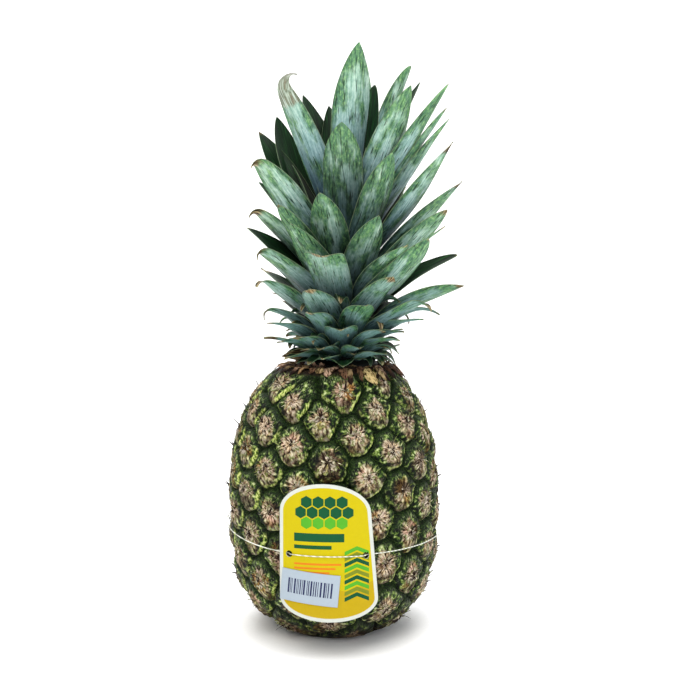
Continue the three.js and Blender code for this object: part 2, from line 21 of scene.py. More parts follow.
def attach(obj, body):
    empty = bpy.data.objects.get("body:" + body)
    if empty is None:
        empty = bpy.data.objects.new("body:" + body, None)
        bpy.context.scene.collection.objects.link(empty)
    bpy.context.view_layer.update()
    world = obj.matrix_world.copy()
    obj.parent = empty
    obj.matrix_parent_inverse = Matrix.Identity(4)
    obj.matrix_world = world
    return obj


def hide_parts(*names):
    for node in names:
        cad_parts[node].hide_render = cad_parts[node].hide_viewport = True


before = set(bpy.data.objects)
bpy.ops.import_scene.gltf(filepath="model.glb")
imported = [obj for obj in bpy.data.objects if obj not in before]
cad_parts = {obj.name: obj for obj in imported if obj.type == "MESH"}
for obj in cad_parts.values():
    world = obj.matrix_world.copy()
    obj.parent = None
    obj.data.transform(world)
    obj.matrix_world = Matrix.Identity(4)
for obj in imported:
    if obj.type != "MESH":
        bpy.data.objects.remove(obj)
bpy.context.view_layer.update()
MM = 0.001
print("nodes:", ", ".join(sorted(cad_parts)))

# %% [markdown]
# ## The camera
#
# The fruit is seen from its front, a little above the middle of its height and half a metre away. Both
# matter: from so near, the tag at the front looks larger than the eyes at the sides, and the rim of the
# base curves down. Blender's camera looks along its own -Z, so a track quaternion aims it.

# %% Camera
VIEW = {"distance": 570.0, "above": 3.0, "aim": (2.3, 0.0, 164.3), "lens": 53.25, "sensor": 36.0}


def aim_at(thing, place, target):
    """Puts a camera or a lamp at a place in mm, looking at another."""
    thing.location = [c * MM for c in place]
    look = Vector(target) - Vector(place)
    thing.rotation_euler = look.to_track_quat("-Z", "Y").to_euler()
    bpy.context.scene.collection.objects.link(thing)


tilt = math.radians(VIEW["above"])
aim = VIEW["aim"]
camera = bpy.data.objects.new("front_camera", bpy.data.cameras.new("front_camera"))
camera.data.lens = VIEW["lens"]
camera.data.sensor_width = VIEW["sensor"]
camera_place = (aim[0], -VIEW["distance"] * math.cos(tilt), aim[2] + VIEW["distance"] * math.sin(tilt))
aim_at(camera, camera_place, aim)
bpy.context.scene.camera = camera
print("camera at", [round(c, 3) for c in camera.location])

# %% [markdown]
# ## Colours and nodes
#
# Colours are picked as sRGB hex values, as a painter would read them off a chart. Cycles works in linear
# light, so one function converts them. A second small function adds a node with its settings and links,
# which keeps each material short enough to read from top to bottom. A colour is then built as a painter
# would lay it: a ground first, and then layer upon layer, each with a share that says where it covers.

# %% Colours and nodes
SOFT = "SMOOTHSTEP"  # how a range passes from one end to the other, where it isn't LINEAR


def linear(code):
    """An sRGB hex colour as linear RGBA."""
    parts = [int(code[i : i + 2], 16) / 255 for i in (1, 3, 5)]
    return (*[c / 12.92 if c <= 0.04045 else ((c + 0.055) / 1.055) ** 2.4 for c in parts], 1.0)


def add_node(tree, kind, inputs=(), stops=(), out=0, **settings):
    """Adds a shader node with its settings and links, and gives the output, or outputs, that out names.

    inputs are values, hex colours and other nodes' outputs, by socket. stops are a colour ramp's."""
    node = tree.nodes.new("ShaderNode" + kind)
    for name, value in settings.items():
        setattr(node, name, value)
    for key, value in inputs.items() if isinstance(inputs, dict) else enumerate(inputs):
        if isinstance(value, bpy.types.NodeSocket):
            tree.links.new(value, node.inputs[key])
        else:
            node.inputs[key].default_value = linear(value) if isinstance(value, str) else value
    if stops:
        ramp = node.color_ramp.elements
        ramp.remove(ramp[1])
        ramp[0].position, ramp[0].color = stops[0][0], linear(stops[0][1])
        for place, code in stops[1:]:
            ramp.new(place).color = linear(code)
    return [node.outputs[o] for o in out] if isinstance(out, tuple) else node.outputs[out]


print("a hex grey of #808080 is", round(linear("#808080")[0], 3), "in linear light")

# %% A material and its shader


def new_material(name, roughness, ior=1.45, **fixed):
    """A material, the function that adds its nodes, and its shader, which holds all fixed values itself."""
    made = bpy.data.materials.new(name)
    made.use_nodes = True
    shader = made.node_tree.nodes["Principled BSDF"]
    for key, value in {"Roughness": roughness, "IOR": ior, **fixed}.items():
        shader.inputs[key.replace("_", " ")].default_value = value
    return made, partial(add_node, made.node_tree), shader


def link(shader, **outputs):
    """Leads nodes' outputs to the shader's sockets of those names."""
    for key, output in outputs.items():
        shader.id_data.links.new(output, shader.inputs[key.replace("_", " ")])


print("materials start with a roughness and an IOR, and", len(bpy.data.materials), "came with the frame")

# %% [markdown]
# ## Building meshes from arrays
#
# Every surface here is a sheet of points worked out by a formula, so numpy does the work and Blender gets
# the result at once. A point can carry more than its place. These meshes also carry named attributes,
# such as how far a point is from the nearest groove, and the materials read them. That ties the colour to
# the shape, whichever way the piece is turned.

# %% Pieces


def new_piece(name, points, faces, materials, attributes=None, slots=None, smooth_shaded=True):
    """A mesh object from points in mm. attributes maps a name to one number or one vector a point."""
    mesh = bpy.data.meshes.new(name)
    mesh.from_pydata((np.asarray(points) * MM).tolist(), [], faces)
    for key, values in (attributes or {}).items():
        values = np.asarray(values, np.float32)
        kind, field = ("FLOAT_VECTOR", "vector") if values.ndim == 2 else ("FLOAT", "value")
        mesh.attributes.new(key, kind, "POINT").data.foreach_set(field, values.ravel())
    for material in materials:
        mesh.materials.append(material)
    if slots is not None:
        mesh.polygons.foreach_set("material_index", slots)
    mesh.polygons.foreach_set("use_smooth", [smooth_shaded] * len(mesh.polygons))
    mesh.update()
    piece = bpy.data.objects.new(name, mesh)
    bpy.context.scene.collection.objects.link(piece)
    return piece


def dress(piece, slot, *nodes):
    """The piece moves with the pineapple and stands for these nodes, which are hidden.

    slot is not used.
    """
    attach(piece, "root")
    if nodes:
        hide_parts(*nodes)
    corners = sum(len(p.vertices) - 2 for p in piece.data.polygons)
    print(f"{piece.name}: {corners} triangles")


def join(parts):
    """One mesh from many: each part has its points, its faces and its attributes."""
    starts = np.cumsum([0] + [len(points) for points, _, _ in parts]).tolist()
    faces = [[start + v for v in face] for start, (_, some, _) in zip(starts, parts) for face in some]
    attributes = {key: np.concatenate([told[key] for _, _, told in parts]) for key in parts[0][2]}
    return np.concatenate([points for points, _, _ in parts]), faces, attributes


print("a mesh is built in mm, and one mm is", MM, "m")

# %% Grids and directions


def grid_faces(rows, columns, wrap=False, ring=False, start=0, flip=False):
    """Quads of a grid that is stored row by row. wrap closes each row, ring joins the last to the first."""
    found = []
    for i in range(rows if ring else rows - 1):
        here, ahead = start + i * columns, start + (i + 1) % rows * columns
        for j in range(columns if wrap else columns - 1):
            k = (j + 1) % columns
            quad = [here + j, here + k, ahead + k, ahead + j]
            found.append(quad[::-1] if flip else quad)
    return found


def shell_faces(rows, columns):
    """Faces of a thin closed sheet: a grid, the same grid again behind it, and the rim between the two."""
    back = rows * columns
    edge = [i * columns for i in range(rows)]
    edge += [(rows - 1) * columns + j for j in range(1, columns)]
    edge += [i * columns + columns - 1 for i in range(rows - 2, -1, -1)]
    edge += list(range(columns - 2, 0, -1))
    rim = [[there, here, back + here, back + there] for here, there in zip(edge, edge[1:] + edge[:1])]
    return grid_faces(rows, columns) + grid_faces(rows, columns, start=back, flip=True) + rim


def unit(vectors):
    """The same directions with a length of 1."""
    return vectors / np.linalg.norm(vectors, axis=1)[:, None]


def full_turn(count):
    """Evenly spread angles, all the way round."""
    return np.linspace(0, 2 * math.pi, count, endpoint=False)


def around(radius, turn, z):
    """A place from its distance to the axis, its turn from the front and its height."""
    radius, turn, z = np.broadcast_arrays(radius, turn, z)
    return np.stack([radius * np.sin(turn), -radius * np.cos(turn), z], axis=-1)


print("a closed sheet of 3 by 3 points has", len(shell_faces(3, 3)), "faces")

# %% Soft steps and noise


def smooth(value, low, high):
    """0 below low, 1 above high and a soft step between them."""
    t = np.clip((np.asarray(value, float) - low) / (high - low), 0, 1)
    return t * t * (3 - 2 * t)


class Speckle:
    """Seeded noise in space: random values on a cubic lattice, blended smoothly, in -1 to 1."""

    def __init__(self, seed, size=32):
        self.values = np.random.default_rng(seed).uniform(-1, 1, (size, size, size))
        self.size = size

    def __call__(self, points, grain):
        """The noise at points in mm, with lumps of that grain in mm."""
        scaled = np.asarray(points, float) / grain + 100.5
        whole = np.floor(scaled).astype(int)
        part = scaled - whole
        part = part * part * (3 - 2 * part)
        total = np.zeros(scaled.shape[:-1])
        for corner in np.ndindex(2, 2, 2):
            weight = np.prod(np.where(corner, part, 1 - part), axis=-1)
            index = (whole + corner) % self.size
            total += weight * self.values[index[..., 0], index[..., 1], index[..., 2]]
        return total


speckle = Speckle(seed=5)
print("the noise at the origin is", round(float(speckle([0.0, 0.0, 0.0], 1.0)), 3))

# %% [markdown]
# ## The shape of the fruit
#
# The fruit is a barrel: round in plan, widest below its middle, fuller at the foot than at the shoulder.
# Two rounded curves that meet at the belly describe it. Its eyes follow one spiral, the way all
# such plants grow: each new eye turns by the golden angle, about 137.5 degrees, and rises a little. That
# single rule makes the 8, 13 and 21 slanting rows that the eye sees.

# %% The fruit's curve and spiral
FRUIT = {"radius": 58.9, "belly": 72.6, "lower": (78.15, 3.228), "upper": (85.9, 2.507), "top": 148.0}
SPIRAL = {
    "first": -92, "last": 32, "start": -21.58, "turn": -137.364, "crowding": 0.0932,
    "middle": 111.1, "rise": 1.013, "squared": -0.183, "cubed": 2.084, "scale": 50.0,
}
YOUNG = (116, 142)  # heights between which the eyes grow smaller, towards the crown


def fruit_radius(z):
    """The radius over the crests of the eyes at a height."""
    z = np.asarray(z, float)
    below = z < FRUIT["belly"]
    span = np.where(below, FRUIT["lower"][0], FRUIT["upper"][0])
    power = np.where(below, FRUIT["lower"][1], FRUIT["upper"][1])
    share = np.abs(z - FRUIT["belly"]) / span
    return FRUIT["radius"] * np.sqrt(np.clip(1 - share**power, 0, None))


def fruit_normal(turn, z):
    """The outward direction of the fruit's curve."""
    slope = fruit_radius(np.asarray(z) + 0.5) - fruit_radius(np.asarray(z) - 0.5)
    length = np.hypot(1, slope)
    return around(1 / length, turn, -slope / length)


def spiral_place(n):
    """The turn and height of eye n."""
    n = np.asarray(n, float)
    even = np.radians(SPIRAL["start"] + n * SPIRAL["turn"])
    share = n / SPIRAL["scale"]
    z = SPIRAL["middle"] + SPIRAL["rise"] * n + SPIRAL["squared"] * share**2 + SPIRAL["cubed"] * share**3
    return even + SPIRAL["crowding"] * np.sin(even), z


eye_turns, eye_heights = spiral_place(np.arange(SPIRAL["first"], SPIRAL["last"] + 1))
eye_middles = around(fruit_radius(eye_heights), eye_turns, eye_heights)
print(len(eye_turns), "eyes from", round(eye_heights.min(), 1), "to", round(eye_heights.max(), 1), "mm")

# %% [markdown]
# ## The rind
#
# Each point of the rind belongs to the eye whose middle is nearest. Its distance to the border with the
# next eye gives the groove, and its share of the way from the middle to that border gives the boss, the
# dish and the patch of dry bract. The same numbers are kept on the points for the material, so the green
# grooves lie exactly in the hollows.

# %% Which eye a point belongs to
ROUNDING = 1.0  # how far three borders blend where they meet
BATCH = 8000  # points worked out at a time, to save memory


def nearest_eyes(points):
    """For each point: its eye's number in the list, its distance to that eye and to the cell's border.

    The distances to all the borders are blended, so a cell gets round corners where three meet."""
    owner, middle, border = np.empty(len(points), int), np.empty(len(points)), np.empty(len(points))
    apart = np.linalg.norm(eye_middles[:, None] - eye_middles[None], axis=-1)
    np.fill_diagonal(apart, np.inf)
    for i in range(0, len(points), BATCH):
        part = slice(i, i + BATCH)
        squared = ((points[part, None] - eye_middles[None]) ** 2).sum(-1)
        mine = squared.argmin(1)
        least = squared[np.arange(len(mine)), mine]
        to_border = (squared - least[:, None]) / (2 * apart[mine])
        to_border[np.arange(len(mine)), mine] = np.inf
        soft = -ROUNDING * np.log(np.exp(-to_border / ROUNDING).sum(1))
        owner[part], middle[part], border[part] = mine, np.sqrt(least), np.maximum(soft, 0)
    return owner, middle, border


def surface_frame(turn, z):
    """The outward, sideways and upward directions on the fruit's curve."""
    outward = fruit_normal(turn, z)
    sideways = around(1.0, turn + math.pi / 2, 0.0)
    return outward, sideways, np.cross(outward, sideways)


front = nearest_eyes(around(fruit_radius(90.0), 0.0, 90.0)[None])
print("a point at the front is", round(float(front[1][0]), 1), "mm from the middle of its eye")

# %% [markdown]
# The relief is a sum of soft forms in each eye: a V-shaped groove with a rounded shoulder, a low dome with
# a dish in its middle, the flap of the bract over the lower half, a thin ridge along the flap's border,
# wrinkles that run out from the middle, and two grains of noise over everything.

# %% Rind relief
RELIEF = {
    "base": -0.5, "uneven": 0.35, "groove": 2.3, "groove_width": 0.8, "shoulder": 0.6, "shoulder_width": 2.2,
    "dome": 1.3, "dish": 0.9, "dish_share": 0.2, "flap": 0.4, "ridge": 0.5, "ridge_in": 1.2,
    "ridge_width": 0.6, "wrinkle": 0.14, "grain": 0.26,
}
FLAP = {"half": 5.4, "foot": -7.0, "length": 9.5}  # half width at the foot, which narrows to a point


def rind_lift(points, owner, middle, border, across, up):
    """How far the rind stands above or below the fruit's curve, and the share of the way to the border."""
    share = middle / (middle + border)
    luck = np.random.default_rng(7).uniform(-1, 1, (len(eye_middles), 2))[owner]
    lift = RELIEF["base"] + RELIEF["uneven"] * luck[:, 0]
    lift -= RELIEF["groove"] * np.exp(-((border / RELIEF["groove_width"]) ** 1.3))
    lift -= RELIEF["shoulder"] * np.exp(-((border / RELIEF["shoulder_width"]) ** 2))
    lift += RELIEF["dome"] * (1 - share**2) - RELIEF["dish"] * np.exp(-((share / RELIEF["dish_share"]) ** 2))
    flap_half = FLAP["half"] * (1 - (up - FLAP["foot"]) / FLAP["length"])
    lift += RELIEF["flap"] * (smooth(flap_half - np.abs(across), -0.5, 0.5) * smooth(up, -8.5, -6.5))
    # The bract's margins stand up as a thin ridge along the lower border.
    below = smooth((0.5 * np.abs(across) - up) / (middle + 0.01), 0.0, 0.6)
    ridge = np.exp(-(((border - RELIEF["ridge_in"]) / RELIEF["ridge_width"]) ** 2))
    lift += RELIEF["ridge"] * ridge * below
    angle = np.arctan2(up, across)
    ribs = np.sin(angle * 15 + 9 * luck[:, 1]) + 0.6 * np.sin(angle * 27 + 5 * luck[:, 0])
    lift += RELIEF["wrinkle"] * ribs * smooth(share, 0.15, 0.45)
    lift += RELIEF["grain"] * (speckle(points, 1.7) + 1.6 * speckle(points, 4.5))
    return lift, share


print("grooves", RELIEF["groove"], "mm deep, domes", RELIEF["dome"], "mm high")

# %% [markdown]
# The finish needs to know where the dry paper, the yellow-green lip, the dark groove and the stains lie.
# Each is a soft share from 0 to 1, with borders that noise makes ragged. The dry patch is smaller on the
# young eyes near the crown, and the lip follows the border at both lower sides, out to where three eyes
# meet. The dark groove is partly painted shade: it widens on an eye's upper side, under the eye above,
# and the dry patch sits low, so that the upper part of each eye stays dark.

# %% Where each finish lies
PATCH_REACH = 0.54  # how far a dry patch goes from the eye's middle, as a share of the way to the border


def rind_zones(points, owner, border, share, across, up):
    """Soft shares from 0 to 1: dry patch, lip and groove, then ochre, ash and the eye's own tint.

    The groove's share also carries painted shade, widest on the eye's upper side.
    """
    luck = np.random.default_rng(19).uniform(0, 1, (len(eye_middles), 8))[owner]
    ragged = 0.7 * speckle(points, 3.4) + 0.5 * speckle(points + 40, 1.5)
    angle = np.arctan2(up, across)
    reach = PATCH_REACH + 0.1 * luck[:, 0] - 0.05 * np.cos(2 * angle)
    reach += 0.06 * np.sin(2 * angle + 6 * luck[:, 1])
    reach += 0.05 * np.sin(3 * angle + 6 * luck[:, 2]) + 0.04 * np.sin(5 * angle + 6 * luck[:, 3])
    reach -= 0.12 * smooth(points[:, 2], *YOUNG)
    # The dry patch is pushed down the eye, so that its upper part stays dark green: a painted shade under the
    # eye above.
    patch = smooth(reach - share + 0.1 * ragged - 0.024 * up, -0.26, 0.2)
    away = np.hypot(across, up) + 0.01
    sideways = smooth(0.45 * np.abs(across) / away - up / away, 0.0, 0.6)
    lip = smooth(border, 0.3, 1.0) * (1 - smooth(border, 1.2, 2.9)) * sideways
    lip = lip * (0.45 + 0.55 * smooth(across / away, -0.6, 0.6)) * (0.5 + 0.5 * luck[:, 4])
    lip = lip * (0.4 + 0.6 * smooth(speckle(points + 80, 5.0), -0.6, 0.1))
    # The groove's dark band is wider on the eye's upper side, which paints the shade under the eye above.
    width = 0.4 + 1.9 * smooth(up / away, -0.35, 0.75)
    groove = 1 - smooth(border + 0.4 * ragged, 0.2 * width, 1.8 * width)
    ochre = smooth(speckle(points + 120, 6.0), 0.05, 0.6) * smooth(luck[:, 5], 0.35, 0.6)
    ash = smooth(speckle(points + 160, 9.0), 0.25, 0.7) * (1 - smooth(share, 0.5, 0.95) * 0.4)
    return np.stack([patch, lip, groove], axis=-1), np.stack([ochre, ash, luck[:, 6]], axis=-1)


print("a dry patch reaches about", PATCH_REACH, "of the way to the border")

# %% [markdown]
# The rind is one closed skin. It starts at the roof of the stalk's socket, comes out under the foot, runs
# up the barrel and closes under the crown. The relief dies away at the foot and at the neck, where the
# fruit has to meet the table and the collar. A slow wander moves the borders a little, so that no two
# eyes have the same outline.

# %% The rind's mesh
CELL = 0.84  # spacing of the rind's points
SOCKET = {"radius": 14.3, "roof": 8.7}
WANDER = 1.1  # how far the borders between the eyes stray
FOOT, NECK = (0.0, 4.0), (144.5, 147.5)  # heights over which the relief fades in and out


def rind_outline():
    """The fruit's section from the rim of the stalk's hole, under the foot and up to the crown."""
    fine = np.linspace(0, FRUIT["top"], 1200)
    under = np.linspace(SOCKET["radius"], fruit_radius(0.0), 40)[:-1]
    radii, heights = np.concatenate([under, fruit_radius(fine)]), np.concatenate([0 * under, fine])
    length = np.concatenate([[0], np.cumsum(np.hypot(np.diff(radii), np.diff(heights)))])
    even = np.linspace(0, length[-1], int(length[-1] / CELL))
    return np.interp(even, length, radii), np.interp(even, length, heights)


def rind_mesh():
    """Points, faces and attributes of the whole rind, closed at the crown and round the stalk's socket."""
    radii, heights = rind_outline()
    columns = int(2 * math.pi * FRUIT["radius"] / CELL)
    turn = full_turn(columns)[None]
    base = around(radii[:, None], turn, heights[:, None]).reshape(-1, 3)
    outward = fruit_normal(np.arctan2(base[:, 0], -base[:, 1]), np.maximum(base[:, 2], 0.6))
    astray = np.stack([speckle(base + 200 * (axis + 1), 4.5) for axis in range(3)], axis=-1)
    owner, middle, border = nearest_eyes(base + WANDER * astray)
    _, sideways, upward = surface_frame(eye_turns[owner], eye_heights[owner])
    away = base - eye_middles[owner]
    across, up = (away * sideways).sum(-1), (away * upward).sum(-1)
    lift, share = rind_lift(base, owner, middle, border, across, up)
    calm = smooth(base[:, 2], *FOOT) * (1 - smooth(base[:, 2], *NECK))
    points = base + outward * (lift * calm)[:, None]
    points[:, 2] = np.maximum(points[:, 2], 0.0)
    faces = grid_faces(len(radii), columns, wrap=True)
    roof = SOCKET["roof"]
    socket = around(SOCKET["radius"], turn, roof).reshape(-1, 3)
    points = np.concatenate([points, socket, [[0, 0, roof], [0, 0, FRUIT["top"]]]])
    first, hub, last_row = len(base), len(base) + columns, len(base) - columns
    for j in range(columns):
        k = (j + 1) % columns
        faces += [[first + j, first + k, k, j], [hub, first + k, first + j]]
        faces.append([last_row + j, last_row + k, hub + 1])
    seed = np.random.default_rng(11).uniform(0, 1, len(eye_middles))[owner]
    zones, tints = rind_zones(base, owner, border, share, across, up)
    # The socket's points and the two hubs take the groove's finish.
    spare = np.ones((columns + 2, 3))
    return points, faces, {
        "eye_place": np.concatenate([np.stack([across, up, seed], axis=-1), 0 * spare]),
        "eye_share": np.concatenate([share, spare[:, 0]]),
        "rind_zones": np.concatenate([zones, spare * [0, 0, 1]]),
        "rind_tints": np.concatenate([tints, 0 * spare]),
    }


rind_points, rind_faces, rind_told = rind_mesh()
print(len(rind_points), "points on the rind")

# %% [markdown]
# ## The rind's finish
#
# The rind is tough plant skin, satin where it is green and dull where the bracts have dried. Its IOR is
# that of most plant cuticle, about 1.45. The colour is built outward from the eye's middle: dark brown
# where the sepals meet, tan and pink paper in a patchwork that each eye has of its own, olive where the
# paper goes over into live skin, a yellow-green lip along the lower border, and near-black green in the
# groove, which is partly its own colour and partly painted shade. Towards the foot a brownish painted
# shade darkens it. Fibres run out from the middle like spokes, about 1 mm wide halfway out. They come
# from noise read on a circle, which makes spokes without a seam.

# %% Rind material: patterns
rind, add, shader = new_material("satin_green_pineapple_rind", roughness=0.6, Specular_IOR_Level=0.15)
spot = add("TexCoord", out="Object")
place, zones, tints = [
    add("Attribute", out="Vector", attribute_name=key) for key in ("eye_place", "rind_zones", "rind_tints")
]
share = add("Attribute", out="Fac", attribute_name="eye_share")
eye_up, eye_seed = add("SeparateXYZ", [place], out=(1, 2))
dry_zone, lip_zone, groove_and_shade_zone = add("SeparateXYZ", [zones], out=(0, 1, 2))
ochre, ash_zone, own_tint = add("SeparateXYZ", [tints], out=(0, 1, 2))
height = add("SeparateXYZ", [spot], out=2)
flat = add("VectorMath", [place, (1, 1, 0)], operation="MULTIPLY")
spoke = add("VectorMath", [flat], operation="NORMALIZE")
outward_share = add("Math", [share, 5.0], operation="MULTIPLY")
depth = add("Math", [eye_seed, 17.0, outward_share], operation="MULTIPLY_ADD")
lifted = add("CombineXYZ", {"Z": depth})
circle = add("VectorMath", [spoke, (5, 5, 0), lifted], operation="MULTIPLY_ADD")
fibres = add("TexNoise", {"Vector": circle, "Scale": 1.0, "Detail": 5.0})
hair_place = add("VectorMath", [place, (1.9, 0.6, 40)], operation="MULTIPLY")
hairs = add("TexNoise", {"Vector": hair_place, "Scale": 1.0, "Detail": 3.0})
# Three more noises in space, from coarse to fine: grain in mm and detail.
patchwork, mottle, grit = [
    add("TexNoise", {"Vector": spot, "Scale": 1 / (grain * MM), "Detail": detail})
    for grain, detail in ((4.5, 2.0), (2.4, 3.5), (0.8, 4.0))
]
print(rind.name, "has", len(rind.node_tree.nodes), "nodes for its patterns")

# %% [markdown]
# Where a layer lies comes from three things: a zone, a noise that roughens its edge, and the two values
# between which it opens. So one loop makes all the shares, and a list says what each is for.

# %% Rind material: where each layer lies
torn = add("Math", [fibres, 1.3, dry_zone], operation="MULTIPLY_ADD")
shares = []
for noise, amount, zone, low, high, most, way in (
    (eye_up, 0.01, hairs, 0.6, 0.76, 0.6, "LINEAR"),  # pale hairs, more of them high on the eye
    (mottle, 0.7, lip_zone, 0.5, 1.05, 0.95, SOFT),  # yellow-green lip, broken by the mottle
    (grit, 0.7, torn, 1.2, 1.8, 1.0, SOFT),  # dry patch, torn along its fibres
    (mottle, 0.7, share, 0.41, 0.33, 1.0, SOFT),  # dark heart
    (grit, 1.1, ash_zone, 0.9, 1.5, 0.95, "LINEAR"),  # ashen places, where the skin has died back
    (mottle, 0.9, groove_and_shade_zone, 0.7, 1.25, 0.96, SOFT),  # groove: its own dark green and a painted shade, widest on the eye's upper side
    (mottle, 26 * MM, height, 42 * MM, 12 * MM, 0.85, SOFT),  # painted shade towards the foot, brownish and mottled
    (mottle, 4 * MM, height, 146.2 * MM, 149.2 * MM, 1.0, SOFT),  # near-black brown neck under the collar: its own brown and a painted shade
):
    edge = add("Math", [noise, amount, zone], operation="MULTIPLY_ADD")
    shares.append(add("MapRange", [edge, low, high, 0.0, most], interpolation_type=way))
hair, lip, patch, heart, ash, groove, foot, neck = shares
alive = add("MapRange", [share, 0.3, 0.75, 0.0, 0.7])
print(len(shares), "layers on the rind")

# %% Rind material: colours
weave = add("Math", [fibres, 0.4], operation="MULTIPLY")
weave = add("Math", [mottle, 0.6, weave], operation="MULTIPLY_ADD")
skin = add("ValToRGB", [weave], [
    (0.44, "#030801"), (0.5, "#122408"), (0.54, "#304614"), (0.585, "#6E843A"), (0.64, "#C0C892"),
])
lip_colour = add("ValToRGB", [hairs], [(0.38, "#243C12"), (0.48, "#86A038"), (0.57, "#DCE28C")])
husk = add("ValToRGB", [fibres], [(0.38, "#2A1C14"), (0.45, "#84725E"), (0.53, "#C4B7A2"), (0.61, "#FAF4E6")])
tint_place = add("Math", [patchwork, 2.4, own_tint], operation="MULTIPLY_ADD")
tint_place = add("Math", [tint_place, 1.2], operation="SUBTRACT")
tint = add("ValToRGB", [tint_place], [
    (0.0, "#D9AC9C"), (0.3, "#CFC7B6"), (0.6, "#D6B88A"), (0.8, "#B7A6A4"), (1.0, "#E0CDB8"),
])
# The groove's near-black green is partly its own colour and partly painted shade.
groove_and_shade_green = add("ValToRGB", [grit], [(0.38, "#030902"), (0.52, "#0C1E06"), (0.66, "#2E4418")])
# The dry paper first: tinted, stained with ochre, and olive where it goes over into live skin.
dry_paper = husk
for cover, over, blend in ((0.8, tint, "MULTIPLY"), (ochre, "#D6BC84", "MULTIPLY"), (alive, skin, "MIX")):
    dry_paper = add("Mix", {0: cover, 6: dry_paper, 7: over}, out=2, data_type="RGBA", blend_type=blend)
colour = skin
# Towards the foot the colour is multiplied by a brownish painted shade.
for cover, over, blend in (
    (hair, "#9DAE78", "MIX"), (lip, lip_colour, "MIX"), (patch, dry_paper, "MIX"), (heart, "#22100A", "MIX"),
    (ash, "#6C6860", "MULTIPLY"), (groove, groove_and_shade_green, "MIX"), (foot, "#6E6450", "MULTIPLY"),
    (neck, "#1F130D", "MIX"),
):
    colour = add("Mix", {0: cover, 6: colour, 7: over}, out=2, data_type="RGBA", blend_type=blend)
dull = add("MapRange", {0: patch, 3: 0.5, 4: 0.85})
fine = add("Math", [fibres, 0.7, grit], operation="MULTIPLY_ADD")
bump = add("Bump", {"Strength": 0.9, "Distance": 0.8 * MM, "Height": fine})
link(shader, Base_Color=colour, Roughness=dull, Normal=bump)
print(rind.name, "has", len(rind.node_tree.nodes), "nodes")

# %% The rind itself
dress(new_piece("fruit_rind", rind_points, rind_faces, [rind], rind_told), "rind", "fruit")

# %% [markdown]
# ## Bracts and sepals on the eyes
#
# Over the lower half of every eye lies the dried tip of its bract, and three small sepals close the
# middle. All have torn into strips. They are thin, lift off the surface and catch light on their edges, so
# they are real blades and not paint. Most eyes also have a stiff bristle or two, which is what breaks the
# fruit's outline.

# %% Blades


def blade(spine, side, normal, halves, thick, columns, torn=None):
    """A thin closed blade along a spine: points, faces, and how far along and across each point lies.

    torn is a random source that frays both margins, each in its own way."""
    rows = len(spine)
    across = np.linspace(-1, 1, columns + 1)
    wide = np.repeat(halves[:, None], columns + 1, axis=1)
    if torn is not None:
        fray = 1 + torn.uniform(-0.35, 0.25, (rows, 2))
        wide = wide * np.where(across < 0, fray[:, :1], fray[:, 1:])
    bow = (across**2)[None, :, None] * 0.22 * halves[:, None, None]
    sheet = spine[:, None] + side[:, None] * (wide * across)[..., None] + normal[:, None] * bow
    depth = normal[:, None] * (thick / 2 * (1 - 0.7 * across**2))[None, :, None]
    points = np.concatenate([(sheet + depth).reshape(-1, 3), (sheet - depth).reshape(-1, 3)])
    along = np.repeat(np.linspace(0, 1, rows), columns + 1)
    place = np.tile(np.stack([along, (wide * across).ravel()], axis=-1), (2, 1))
    return points, shell_faces(rows, columns + 1), place


def grown(place, length, tint, burn):
    """What a blade's finish is told: its share along, tint and burn, then mm across and along and a seed."""
    along, wide = place.T
    same = np.ones_like(along)
    return {
        "grown": np.stack([along, tint * same, burn * same], axis=-1),
        "grain": np.stack([wide, along * length, 61.7 * (tint + burn) * same], axis=-1),
    }


print("a blade of 7 rows and 2 columns has", len(shell_faces(7, 3)), "faces")

# %% A blade on an eye
STRIP_THICK = 0.35
EYE_CURVE = 90  # radius of an eye's surface from foot to top
HEART_BELOW = 0.4  # how far the dark heart lies below the eye's middle


def eye_blade(eye, look, start, end, half, lift, rows, swing=0.0, columns=2, torn=None, blunt=1.6):
    """A blade on an eye, between two places given in mm across and up from the eye's middle.

    lift is how far its root and point stand off, look is its tint and how burnt it is, and a larger
    blunt keeps it wide for longer."""
    turn, z = eye_turns[eye], eye_heights[eye]
    t = np.linspace(0, 1, rows)
    across = start[0] + (end[0] - start[0]) * t + swing * np.sin(math.pi * t)
    up = start[1] + (end[1] - start[1]) * t
    middle = around(fruit_radius(z), turn, z)
    outward, sideways, upward = surface_frame(turn, z)
    # The eye's surface falls away from its middle as the fruit curves.
    fall = (across**2 / fruit_radius(z) + up**2 / EYE_CURVE) / 2
    rise = lift[0] + (lift[1] - lift[0]) * t**1.8 - fall
    spine = middle + across[:, None] * sideways + up[:, None] * upward + rise[:, None] * outward
    side = unit(np.cross(unit(np.gradient(spine, axis=0)), outward))
    halves = half * np.maximum(0.05, (1 - t**blunt)) * (0.75 + 1.2 * t * (1 - t))
    back = np.broadcast_to(-outward, spine.shape)
    points, faces, place = blade(spine, side, back, halves, STRIP_THICK, columns, torn)
    return points, faces, grown(place, math.dist(start, end), *look)


def turned(lean, reach):
    """The step of that many mm at lean degrees from an eye's right side."""
    return reach * math.cos(math.radians(lean)), reach * math.sin(math.radians(lean))


def off_middle(lean, reach):
    """A place on an eye, reach mm from its heart, at lean degrees from the heart's right side."""
    across, up = turned(lean, reach)
    return across, up - HEART_BELOW


def patchy(eye, place):
    """A tint from 0 to 1 that changes slowly over an eye, so its strips make soft patches of colour."""
    value = float(speckle(np.array([place[0], place[1], 9.7 * eye]), 3.4))
    return min(1.0, max(0.0, 0.5 + 0.75 * value))


print("strips are", STRIP_THICK, "mm thick")

# %% [markdown]
# The bract has torn into ten strips that rise from the eye's lower edge and close over its middle. The
# sepals have split into eight, round the upper half. Both follow one plan, with their own numbers.

